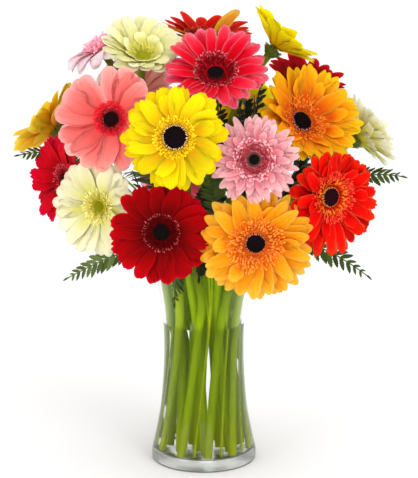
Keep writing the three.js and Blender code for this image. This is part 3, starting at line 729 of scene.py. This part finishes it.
def fern_material(name, deep, pale):
    """Leathery leaflets with a paler underside, a light midrib and fine side veins."""
    shader = Shader("fern_" + name, Roughness=0.5, Specular_IOR_Level=0.2)
    skin = shader.mix(shader.field("tone"), deep, pale)
    veins = shader.grain(3.0, 3.0, across=1.5, along=9.0, tone=30.0)
    skin = shader.tinted(skin, deep, veins, 0.5, 0.8, 0.6)
    aside = shader.sum("MULTIPLY", shader.sum("ABSOLUTE", shader.field("across")), 5.0)
    midrib = shader.sum("SUBTRACT", 1.0, aside, clamp=True)
    skin = shader.mix(shader.sum("MULTIPLY", midrib, 0.35), skin, pale)
    shader.bump(veins, 0.0006, 0.7)
    return shader.colour(shader.mix(shader.sum("MULTIPLY", shader.field("under"), 0.5), skin, pale))


def clear_shader(name, gleam, bend, frost):
    """A clear stuff with its reflection, refraction and roughness."""
    return Shader(name, Roughness=frost, IOR=bend, Transmission_Weight=1.0,
                  Specular_Tint=(gleam, gleam, gleam, 1.0))


def glass_material(name, tint, gleam, bend, frost):
    """Glass with a faint ripple."""
    shader = clear_shader(name, gleam, bend, frost)
    ripple = shader.cloud(16.0)
    shader.bump(ripple, 0.0006, 0.25)
    return shader.colour(shader.mix(shader.spread(ripple, 0.3, 0.7), tint, (99, 99.5, 99)))


def water_material():
    shader = clear_shader("water", 0.12, 1.33, 0.0)
    cloud = shader.spread(shader.cloud(9.0), 0.3, 0.7)
    return shader.colour(shader.mix(cloud, (99, 99.5, 97.5), (99.5, 100, 98.5)))


def floor_material():
    shader = Shader("pale_floor", Roughness=0.75, Specular_IOR_Level=0.15)
    return shader.colour(shader.mix(shader.cloud(2.0), (98.5, 98.5, 98.5), (99, 99, 99)))


# Flower heads

# The grid of a petal's points, from its foot to its tip and from one edge to the other
ROWS, COLUMNS = np.meshgrid([0, 0.1, 0.22, 0.36, 0.5, 0.63, 0.75, 0.86, 0.94, 1.0],
                            [-1, -0.82, -0.6, -0.3, 0, 0.3, 0.6, 0.82, 1.0], indexing="ij")
PETAL_STEPS = 41
PETAL_HALF_THICKNESS = 0.28
EDGE_HALF_THICKNESS = 0.02
PETAL_FOOT_SHARE = 0.14
# The part of a petal's length in which its slope turns from the cup to the tips
BEND_START = 0.42
BEND_LENGTH = 0.4
# The two grooves of a petal and the notches at its end, across its half width
GROOVE_PLACE = 0.33
NOTCH_PLACE = 0.3
NOTCH_START = 0.86
CREASE_WIDTH = 0.12
EDGE_WAVES = 1.7
FIRST_LEVEL = 0.6
WHORL_STEP = 0.9
ODD_STEP = 0.5
INNER_WIDTH = 0.86
INNER_OVERLAP = 0.04
INNER_STEP = 0.3
STRAY_STEP = 0.6
BARE_HALF = 7


def placed(spec, points):
    """Points of a head's own frame, brought to their place in the bouquet."""
    ahead = unit(spec.faces)
    side = unit(np.cross(WORLD_UP, ahead))
    return np.array(spec.at) + points @ np.stack([side, np.cross(ahead, side), ahead])


def round_place(index, count, row, loose):
    """The direction of one of many parts in a ring. Each row starts half a step on from the last."""
    return (index + 0.5 * row + rng.uniform(-loose, loose)) * 360 / count


def bed(spec, form, place):
    """How high the second whorl of petals lies at a distance from the middle of a head."""
    slope = tan(radians(spec.cup + form.lifts[1]))
    return FIRST_LEVEL + WHORL_STEP + ODD_STEP + max(0, place - PETAL_FOOT_SHARE * spec.radius) * slope


def petal_middle_line(foot, reach, level, cup, tips, curl):
    """Radius, height and slope along a petal's middle, at even shares of its length."""
    share = np.linspace(0, 1, PETAL_STEPS)
    slope = np.radians(lerp(cup, tips, smooth(share, BEND_START, BEND_LENGTH)) + curl * share ** 4)
    radius = lerp(foot, reach, share)
    rise = np.tan(slope) * (reach - foot) / (len(share) - 1)
    height = level + np.concatenate([[0], np.cumsum((rise[1:] + rise[:-1]) / 2)])
    return share, radius, height, slope


def petal_outline(form, wide):
    """Where each row and column of a petal lies: its share of the length, and its half width."""
    place = ROWS * (1 - form.cut * rng.uniform(0.8, 1.2) * np.abs(COLUMNS) ** form.power)
    for side in (-1, 1):
        deep = form.teeth * min(2.5, rng.exponential())
        notch = np.exp(-((COLUMNS - NOTCH_PLACE * side) / CREASE_WIDTH) ** 2)
        place = place - deep * notch * smooth(ROWS, NOTCH_START, 0.14)
    belly = form.belly
    shape = lerp(form.claw, 1, smooth(ROWS / belly)) * lerp(1, form.end, smooth(ROWS, belly, 1 - belly))
    return place, COLUMNS * shape * wide * rng.uniform(0.9, 1.08)


def petal_lift(form, across, wide, roll):
    """How far the petal's skin stands off its middle line: its roll, hollow, two grooves and waves."""
    roll = radians(roll + rng.normal(0, 4))
    twist = radians(rng.normal(0, form.jitter * 1.6))
    lift = across * np.tan(roll + twist * ROWS)
    lift += form.channel * wide * (COLUMNS ** 2 - 0.35) * rng.uniform(-0.3, 1.7)
    groove = np.exp(-((np.abs(COLUMNS) - GROOVE_PLACE) / CREASE_WIDTH) ** 2)
    lift -= form.groove * groove * smooth(ROWS, 0, 0.3)
    lift += form.wave * COLUMNS ** 2 * np.sin(2 * pi * (EDGE_WAVES * ROWS + rng.uniform()))
    return lift * lerp(0.15, 1, smooth(ROWS, 0, 0.45))


def petal(made, form, foot, length, level, lift, azimuth, wide, roll):
    """Adds one petal with its own chance bends to a head, from the distance and level of its foot."""
    curl = rng.normal(0, form.curl)
    cup, tips = made.spec.cup + lift, made.spec.tips + lift
    line = petal_middle_line(foot, foot + length, level, cup, tips, curl)
    place, across = petal_outline(form, wide)
    stand = petal_lift(form, across, wide, roll)
    r, h, slope = (np.interp(place, line[0], values) for values in line[1:])
    thick = PETAL_HALF_THICKNESS * (1 - COLUMNS ** 2) * (1 - ROWS ** 8) + EDGE_HALF_THICKNESS
    normal = np.stack([-np.sin(slope), np.zeros_like(slope), np.cos(slope)], axis=2)
    middle = np.stack([r, across, h], axis=2) + normal * stand[:, :, None]
    offset = normal * thick[:, :, None]
    x, y, z = both_sides(middle + offset, middle - offset).T
    x, z = swung(x - foot, z - level, radians(rng.normal(0, form.jitter)))
    angle = radians(azimuth) + radians(rng.normal(0, form.sway)) * both_sides(ROWS, ROWS) ** 2
    x, y = swung(foot + x, y, angle)
    made.add_blade(np.stack([x, y, level + z], axis=1), ROWS, COLUMNS)


def is_bare(spec, azimuth):
    """Whether a head has lost its petals in this direction."""
    return any(abs((azimuth - bare + 180) % 360 - 180) < BARE_HALF for bare in spec.bare)


def longer(spec, azimuth):
    """How much longer the petals are in this direction, where a head has grown to one side."""
    side, share = spec.shift
    return 1 + share * cos(radians(azimuth - side))


def petals(spec, form, slot, material):
    """Every whorl of petals of a head, short ones from under the florets, and single stray petals."""
    made = Form(spec)
    whorls = list(zip(form.counts, form.reaches, form.lifts))
    for whorl, (count, reach, lift) in enumerate(whorls + [form.behind]):
        inner = 2 <= whorl < len(whorls)
        foot = spec.radius * (form.crown[1] - INNER_OVERLAP if inner else PETAL_FOOT_SHARE)
        level = FIRST_LEVEL + WHORL_STEP * (whorl if whorl < 2 else -1)
        if inner:
            level = bed(spec, form, foot) + INNER_STEP
        wide = form.width * spec.radius * (1 if whorl < 2 else INNER_WIDTH)
        for index in range(count):
            azimuth = round_place(index, count, whorl, 0.18)
            if is_bare(spec, azimuth):
                continue
            length = reach * spec.radius - foot
            length = length * np.clip(rng.normal(1, 0.03), 0.9, 1.04) * longer(spec, azimuth)
            petal(made, form, foot, length, level + ODD_STEP * (index % 2), lift, azimuth, wide, form.roll)
    foot = PETAL_FOOT_SHARE * spec.radius
    for azimuth, lift, reach, roll in spec.strays:
        length = (reach * spec.radius - foot) * cos(radians(spec.cup + lift))
        wide = form.width * spec.radius * cos(radians(roll))
        petal(made, form, foot, length, bed(spec, form, foot) + STRAY_STEP, lift, azimuth, wide, roll)
    return made.piece("petals_" + spec.name, material, slot, "bloom_" + spec.name)


STRAP_SECTIONS = 6
STRAP_SIDES = 4


def strap(made, start, azimuth, length, width, slope, bend, yaw, swell=0.0, **fields):
    """A narrow curling floret, tooth or bract, from its start as a radius and height in the head."""
    share = np.linspace(0, 1, STRAP_SECTIONS)
    angle = np.radians(slope + bend * share)
    step = length / (STRAP_SECTIONS - 1)
    r = start[0] + np.concatenate([[0], np.cumsum(np.cos(angle[:-1]))]) * step
    h = start[1] + np.concatenate([[0], np.cumsum(np.sin(angle[:-1]))]) * step
    turn = radians(azimuth)
    path = np.stack([*swung(r, yaw * share ** 2 * length, turn), h], axis=1)
    side = np.array([-sin(turn), cos(turn), 0.0])
    profile = width * lerp(0.6, 1 + swell, smooth(share, 0, 0.75)) * np.sqrt(1 - 0.85 * share ** 6)
    points = tube(path, side, profile, STRAP_SIDES, flat=0.45)
    made.add_tube(points, STRAP_SIDES, share, **fields)


def crown(spec, form, slot, material):
    """The dense rows of small florets between the eye and the petals."""
    made = Form(spec)
    rows = form.rows
    for row in range(rows):
        share = (row + 0.5) / rows
        count = round(form.florets * lerp(0.75, 1.2, share))
        for index in range(count):
            place = spec.radius * lerp(*form.crown, share + rng.uniform(-0.5, 0.5) / rows)
            start = (place, bed(spec, form, place) + 0.5)
            azimuth = round_place(index, count, row, 0.35)
            length = form.length * spec.radius * rng.uniform(0.75, 1.2)
            slope = lerp(*form.upright, share) + rng.normal(0, 8)
            width = form.thin * spec.radius * rng.uniform(0.85, 1.2)
            bend = rng.normal(form.hook, 35)
            yaw = rng.normal(0, 0.25)
            strap(made, start, azimuth, length, width, slope, bend, yaw, form.swell,
                  tone=rng.uniform(), across=np.clip(share + rng.normal(0, 0.08), 0, 1))
    return made.piece("florets_" + spec.name, material, slot)


DISC_BUDS = 90
BUD_SIDES = 5
BUD_SIZE = 0.1
BUD_LEAN = 0.35
BUD_HEIGHTS = np.array([0, 0.45, 0.8, 1])
BUD_WIDTHS = np.array([0.8, 1, 0.7, 0.25])
# How far along its bud each ring lies, which sets the painted highlight on the bud tips.
BUD_SHADES = np.array([0, 0.4, 0.8, 1])
RING_TEETH = 44
RING_RADIUS = 1.16
GOLDEN_ANGLE = 137.508


def eye_dome(made, form, disc, level, rise):
    """The low dome that the buds stand on, with a skirt under the florets."""
    dome = [(0, level - 1.4), (1.16 * disc, level - 1.2), (1.18 * disc, level - 0.6)]
    dome += [(disc * reach, level + rise * (1 - reach ** 2)) for reach in np.linspace(1, 0, 8)]
    points, faces = lathe(dome, 40)
    reach = np.hypot(points[:, 0], points[:, 1]) / disc
    made.add(points, faces, tone=0.1, across=reach / form.dark)


def bud(made, form, disc, level, rise, index):
    """One bud of the spiral that covers the dome."""
    place = sqrt((index + 0.5) / DISC_BUDS)
    degrees = index * GOLDEN_ANGLE
    foot = polar(disc * place, degrees, level + rise * (1 - place ** 2) - 0.4)
    axis = unit(polar(1, degrees, 0) * BUD_LEAN * place + WORLD_UP)
    size = disc * BUD_SIZE
    path = foot + axis * BUD_HEIGHTS[:, None] * size * rng.uniform(1.4, 2.2)
    points = tube(path, unit(np.cross(axis, [0.3, 1, 0.2])), size * BUD_WIDTHS, BUD_SIDES)
    made.add_tube(points, BUD_SIDES, BUD_SHADES, tone=rng.uniform(), across=place / form.dark)


def eye(spec, form, eye_stuff, ring_stuff):
    """The button in the middle of a head: packed buds on a low dome, and a toothed ring over its edge."""
    disc = form.eye * spec.radius
    level = bed(spec, form, 1.1 * disc) + 0.9
    rise = 0.05 * spec.radius
    buds = Form(spec)
    eye_dome(buds, form, disc, level, rise)
    for index in range(DISC_BUDS):
        bud(buds, form, disc, level, rise, index)
    nodes = ["eye_" + spec.name] if "eye_" + spec.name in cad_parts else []
    buds.piece("eye_buds_" + spec.name, eye_stuff, "eye", *nodes)
    ring = Form(spec)
    for index in range(RING_TEETH):
        azimuth = round_place(index, RING_TEETH, 0, 0.25)
        strap(ring, (RING_RADIUS * disc, level - 0.4), azimuth, disc * rng.uniform(0.22, 0.4),
              disc * 0.045, 100, 55, rng.normal(0, 0.1), tone=rng.uniform())
    ring.piece("eye_ring_" + spec.name, ring_stuff, "eye")


# Stems

def leaned(path, ring):
    """The path pushed out above the waist, so that the stems of the outer ring lean on the glass."""
    inside = inside_profile()[::-1]
    height = path[:, 2]
    room = np.interp(height, inside[:, 1], inside[:, 0]) - STEM_RADIUS - LEAN_GAP[ring]
    radius = np.hypot(path[:, 0], path[:, 1])
    begin, finish = (smooth(height, start, ease) for start, ease in zip(LEAN_HEIGHTS, LEAN_ENDS))
    factor = 1 + np.maximum(room - radius, 0) * (begin * (1 - finish)) / radius
    return np.stack([path[:, 0] * factor, path[:, 1] * factor, height], axis=1)


def stem_path(spec):
    """Straight in the water, then in one curve to the foot of the calyx."""
    foot, top = slot_line(*spec.slot)
    ahead = unit(top - foot)
    faces = unit(spec.faces)
    end = np.array(spec.at) - faces * (CALYX_SEAT + CALYX_HEIGHT_SHARE * spec.radius)
    span = np.linalg.norm(end - top)
    leave = top + ahead * spec.leave * span
    arrive = end - faces * spec.arrive * span
    straight = top + (foot - top) * np.linspace(1, 0, 16)[:-1, None]
    return leaned(np.vstack([straight, bezier(top, leave, arrive, end, 30)]), spec.slot[0])


def stem(spec, material):
    """A faintly ribbed and uneven stem."""
    made = Form()
    path = stem_path(spec)
    length = np.concatenate([[0], np.cumsum(np.linalg.norm(np.diff(path, axis=0), axis=1))])
    share = length / length[-1]
    phase = rng.uniform(0, 6)
    radii = STEM_RADIUS * (1 - STEM_TAPER * share) * (1 + 0.02 * np.sin(9 * share + phase))
    radii[0] *= 0.97
    points = tube(path, np.array([1.0, 0.2, 0.1]), radii, STEM_SIDES,
                  bulge=lambda angle: 1 + STEM_RIB_HEIGHT * np.cos(STEM_RIBS * angle + phase))
    turn = np.tile(np.cos(np.arange(STEM_SIDES) * 2 * pi / STEM_SIDES), len(path))
    made.add_tube(points, STEM_SIDES, share, across=np.concatenate([turn, [0, 0]]), tone=rng.uniform())
    return made.piece("stalk_" + spec.name, material, "stem", "stem_" + spec.name)


def calyx(spec, material):
    """The green cup under a head: a waisted cup in two rows of narrow bracts."""
    made = Form(spec)
    top = CALYX_SHARE * spec.radius
    depth = CALYX_HEIGHT_SHARE * spec.radius
    low = -CALYX_SEAT - depth

    def cup(share):
        return lerp(STEM_RADIUS * CALYX_FOOT, top, sin(share * pi / 2) ** 0.8)

    profile = [(0, low - 1.5), (STEM_RADIUS * 0.88, low - 1.5)]
    profile += [(cup(share), low + depth * share) for share in np.linspace(0, 1, 9)]
    profile += [(0.6 * top, 0.2), (0, 0.2)]
    points, faces = lathe(profile, 32)
    made.add(points, faces, along=0.3, tone=0.4)
    for row, (start, length, out) in enumerate(BRACT_ROWS):
        for index in range(BRACTS):
            azimuth = round_place(index, BRACTS, row, 0.15)
            share = start + rng.uniform(0, 0.08)
            strap(made, (cup(share) + 0.15, low + depth * share), azimuth, 0.85 * depth * length,
                  0.026 * spec.radius, 56 + 8 * row, -26 * out, rng.normal(0, 0.05), tone=rng.uniform())
    return made.piece("calyx_" + spec.name, material, "stem")


# Ferns

PINNA_COLUMNS = np.array([-1, -0.5, 0, 0.5, 1.0])
NOTCH_WIDTH = 0.74
MIDRIB_FOLD = 0.2


def pinna(made, root, outward, ahead, up, length, broad):
    """Adds one leaflet: a pointed oval blade with rounded teeth and a folded midrib."""
    rows = 2 * PINNA_TEETH + 2
    share, columns = np.meshgrid(np.linspace(0, 1, rows), PINNA_COLUMNS, indexing="ij")
    odd = (np.arange(rows) % 2)[:, None]
    envelope = np.sin(pi * np.clip(0.12 + 0.88 * share, 0, 1)) ** 0.8
    half = broad * length * envelope * lerp(NOTCH_WIDTH, 1.0, odd) + 0.12
    forward = share + np.abs(columns) * 0.4 * odd / PINNA_TEETH * (1 - share)
    sag = -0.12 * length * share ** 2 * rng.uniform(0.0, 1.8)
    fold = MIDRIB_FOLD * np.abs(columns) * half
    ripple = 0.03 * length * np.sin(6 * share + 3 * columns + rng.uniform(0, 6)) * np.abs(columns) * share
    wide = unit(ahead - outward * (ahead @ outward))
    normal = unit(np.cross(outward, wide))
    flipped = normal @ up < 0
    if flipped:
        normal = -normal
    spread = np.multiply.outer
    middle = (root + spread(forward * length, outward) + spread(columns * half, wide)
              + spread(sag + fold + ripple, normal))
    offset = spread(0.16 * (1 - columns ** 2) * (1 - share ** 6) + EDGE_HALF_THICKNESS, normal)
    made.add_blade(both_sides(middle + offset, middle - offset), share, columns, flipped)


def leaflets(made, spec, curve, broad):
    """Leaflets in pairs along the blade of a frond, longest below its middle, and one at its tip."""
    ahead = directions(curve)
    steps = np.linspace(0, 1, len(curve))
    for index in range(PINNA_PAIRS + 1):
        t = index / PINNA_PAIRS
        place = lerp(spec.start, 0.99, t ** PINNA_CROWDING)
        root = np.array([np.interp(place, steps, curve[:, axis]) for axis in range(3)])
        heading = unit([np.interp(place, steps, ahead[:, axis]) for axis in range(3)])
        side = turned(unit(np.cross(heading, WORLD_UP)), heading, spec.roll)
        up = np.cross(side, heading)
        length = spec.half * sin(pi * lerp(PINNA_START, 1, t)) ** PINNA_FULLNESS + PINNA_LEAST
        if index == PINNA_PAIRS:
            pinna(made, root, heading, side, up, PINNA_TIP, broad)
            continue
        for sign in (-1, 1):
            outward = unit(side * sign + heading * (PINNA_SWEEP + rng.normal(0, 0.06)) - up * PINNA_DROOP
                           + up * rng.normal(0, 0.1))
            pinna(made, root, outward, heading, up, length * rng.uniform(0.78, 0.94), broad)


RIB_SIDES = 8
NECK = 0.8


def rib(made, path, first, last):
    """A thin round rib or stalk that tapers from its first radius to its last."""
    share = np.linspace(0, 1, len(path))
    points = tube(path, np.array([0.3, 1.0, 0.2]), lerp(first, last, share), RIB_SIDES)
    made.add_tube(points, RIB_SIDES, 0.6 * share, tone=0.4)


def stalk_foot(slot):
    """The straight part of a frond's stalk, and the point where it ends."""
    foot, top = slot_line("outer", slot)
    return lerp(foot, top, np.linspace(0.01, 1, 8)[:-1, None]), top


def fern(spec, name, bare, root, ahead, broad, material, stalk_material, *nodes):
    """A frond in two pieces, its bare green stalk and a thin rib with leaflets, ahead from its root."""
    tip = np.array(spec.tip, float)
    curve = bezier(root, root + ahead * spec.leave, tip - unit(spec.heading) * spec.arrive, tip, 61)
    split = int(spec.start * len(curve))
    stalk = Form()
    rib(stalk, np.vstack([bare, curve[:split + 2]]), STALK_RADIUS, NECK * STALK_RADIUS)
    stalk.piece(name + "_stalk", stalk_material, "stem")
    made = Form()
    rib(made, curve[split:], NECK * STALK_RADIUS, RIB_RADIUS)
    leaflets(made, spec, curve, broad)
    return made.piece(name, material, "fern", *nodes)


# Vase and water

def arc(centre, radius, start, end, steps):
    angle = np.radians(np.linspace(start, end, steps))
    return [(centre[0] + radius * cos(a), centre[1] + radius * sin(a)) for a in angle]


def inside_profile():
    return catmull(VASE_INSIDE, OUTLINE_STEPS)


def bowl_corner(gap, start, end):
    """The round between the bowl's wall and its floor, a gap into the glass."""
    centre = (VASE_INSIDE[-1][0] - BOWL_CORNER, FLOOR_HEIGHT + BOWL_CORNER)
    return arc(centre, BOWL_CORNER + gap, start, end, 7)


def turned_piece(name, profile, material, slot, node, sharp):
    made = Form()
    made.add(*lathe(profile, VASE_SEGMENTS))
    return made.piece(name, material, slot, node, sharp=sharp)


def vase(wall_material, foot_material):
    """A waisted, flaring vase with a thick foot and a rounded lip."""
    foot = VASE_UNDERSIDE + arc((FOOT_RADIUS, FOOT_BEVEL), FOOT_BEVEL, -90, 0, 5)
    lip_out, lip_in = np.array(VASE_OUTSIDE[-1]), np.array(VASE_INSIDE[0])
    lip = arc((lip_out + lip_in) / 2, np.linalg.norm(lip_out - lip_in) / 2, -10, 190, 9)
    profile = np.vstack([foot, catmull(VASE_OUTSIDE, OUTLINE_STEPS)[:-1], lip, inside_profile()[1:],
                         bowl_corner(0, 0, -90), [(0, FLOOR_HEIGHT)]])
    glass = turned_piece("vase_glass", profile, wall_material, "glass", "vase", 40)
    glass.data.materials.append(foot_material)
    for face in glass.data.polygons:
        face.material_index = int(face.center.z < FOOT_GLASS_TOP * MM)
    return glass


def water(material):
    """The water, a little into the glass so that no air shows between them."""
    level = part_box("water")[1].z / MM
    brim = level + MENISCUS
    inside = inside_profile()[::-1]
    wall = [(r + WATER_OVERLAP, h) for r, h in inside if h < brim - 2]
    edge = np.interp(brim, inside[:, 1], inside[:, 0])
    top = [(edge + WATER_OVERLAP, brim)]
    top += [(edge - gap, level + MENISCUS * exp(-gap / MENISCUS_LENGTH)) for gap in MENISCUS_PLACES]
    profile = np.vstack([[(0, FLOOR_HEIGHT - WATER_OVERLAP)], bowl_corner(WATER_OVERLAP, -90, -5), wall, top,
                         [(0, level)]])
    return turned_piece("water_fill", profile, material, "water", "water", 50)


# Stage, light and camera

def aim(thing, place, target):
    thing.location = place
    thing.rotation_mode = "QUATERNION"
    thing.rotation_quaternion = Vector(np.array(target) - np.array(place)).to_track_quat("-Z", "Y")


def stage_floor():
    mesh = bpy.data.meshes.new("floor")
    corners = [(-1, -1), (1, -1), (1, 1), (-1, 1)]
    mesh.from_pydata([(x * FLOOR_REACH, y * FLOOR_REACH, 0) for x, y in corners], [], [(0, 1, 2, 3)])
    mesh.materials.append(floor_material())
    floor = new_object("floor", mesh)
    floor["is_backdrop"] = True


def lamp(name, kind, place, target, power, **settings):
    light = bpy.data.lights.new(name, kind)
    light.energy = power
    for setting, value in settings.items():
        setattr(light, setting, value)
    aim(new_object(name, light), place, target)


def studio():
    """Even, soft light: the far light reaches the whole floor, the lamps shine on the bouquet."""
    scene = bpy.context.scene
    scene.view_settings.view_transform = "Standard"
    scene.world = bpy.data.worlds.new("studio")
    scene.world.use_nodes = True
    background = scene.world.node_tree.nodes["Background"]
    background.inputs["Color"].default_value = (1.0, 1.0, 1.0, 1.0)
    background.inputs["Strength"].default_value = SURROUND
    place, spread, power = FAR_LIGHT
    lamp("far", "SUN", place, (0, 0, 0), power, angle=radians(spread))
    for name, (place, size, power) in SOFT_LAMPS.items():
        lamp(name, "AREA", place, LAMP_TARGET, power, shape="DISK", size=size)
    stage_floor()


def camera():
    target = np.array(CAMERA_TARGET) * MM
    elevation = radians(CAMERA_ELEVATION)
    back = np.array([0, -cos(elevation), sin(elevation)])
    data = bpy.data.cameras.new("camera")
    data.lens = CAMERA_LENS
    made = new_object("camera", data)
    aim(made, target + back * CAMERA_DISTANCE * MM, target)
    bpy.context.scene.camera = made


# The whole bouquet

HEAD_MATERIALS = (petal_material, floret_material, eye_material, ring_material)


def flowers(stem_stuff):
    """Every head on its stem."""
    calyx_stuff = calyx_material()
    stuffs = {name: [make(name, colours) for make in HEAD_MATERIALS] for name, colours in PALETTES.items()}
    for spec in HEADS:
        form = FORMS[spec.form]
        slot = "petal_" + PALETTES[spec.palette].slot
        petal_stuff, floret_stuff, eye_stuff, ring_stuff = stuffs[spec.palette]
        stem(spec, stem_stuff)
        calyx(spec, calyx_stuff)
        petals(spec, form, slot, petal_stuff)
        crown(spec, form, slot, floret_stuff)
        eye(spec, form, eye_stuff, ring_stuff)


def ferns(stem_stuff):
    """The fronds that stand in the water, and the side fronds that rise from their stalks."""
    green = fern_material("green", (12, 19, 2), (27, 36, 7))
    pale = fern_material("pale", (20, 28, 5), (45, 52, 28))
    # A near-black copy of the fern colours for the side fronds: painted shade for the dark gaps between the
    # heads.
    shaded = fern_material("shaded", (5, 8, 1), (13, 18, 3))
    for spec in FRONDS:
        bare, top = stalk_foot(spec.root)
        stuff = pale if spec.name == "left_low" else green
        fern(spec, "fern_" + spec.name, bare, top, unit(top - bare[0]), PINNA_HALF, stuff, stem_stuff,
             "frond_" + spec.name)
    for spec in SPRAYS:
        bare, _ = stalk_foot(FRONDS[spec.root].root)
        fern(spec, "spray_" + spec.name, bare[:0], bare[-1], unit(bare[-1] - bare[0]), SPRAY_PINNA_HALF,
             shaded, stem_stuff)


camera()
studio()
vase(glass_material("clear_glass", (98.5, 99, 98.5), 0.07, 1.5, 0.0),
     glass_material("foot_glass", (96, 96.5, 96), 1.0, 1.44, 0.12))
water(water_material())
stem_green = stem_material()
flowers(stem_green)
ferns(stem_green)

low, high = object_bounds()
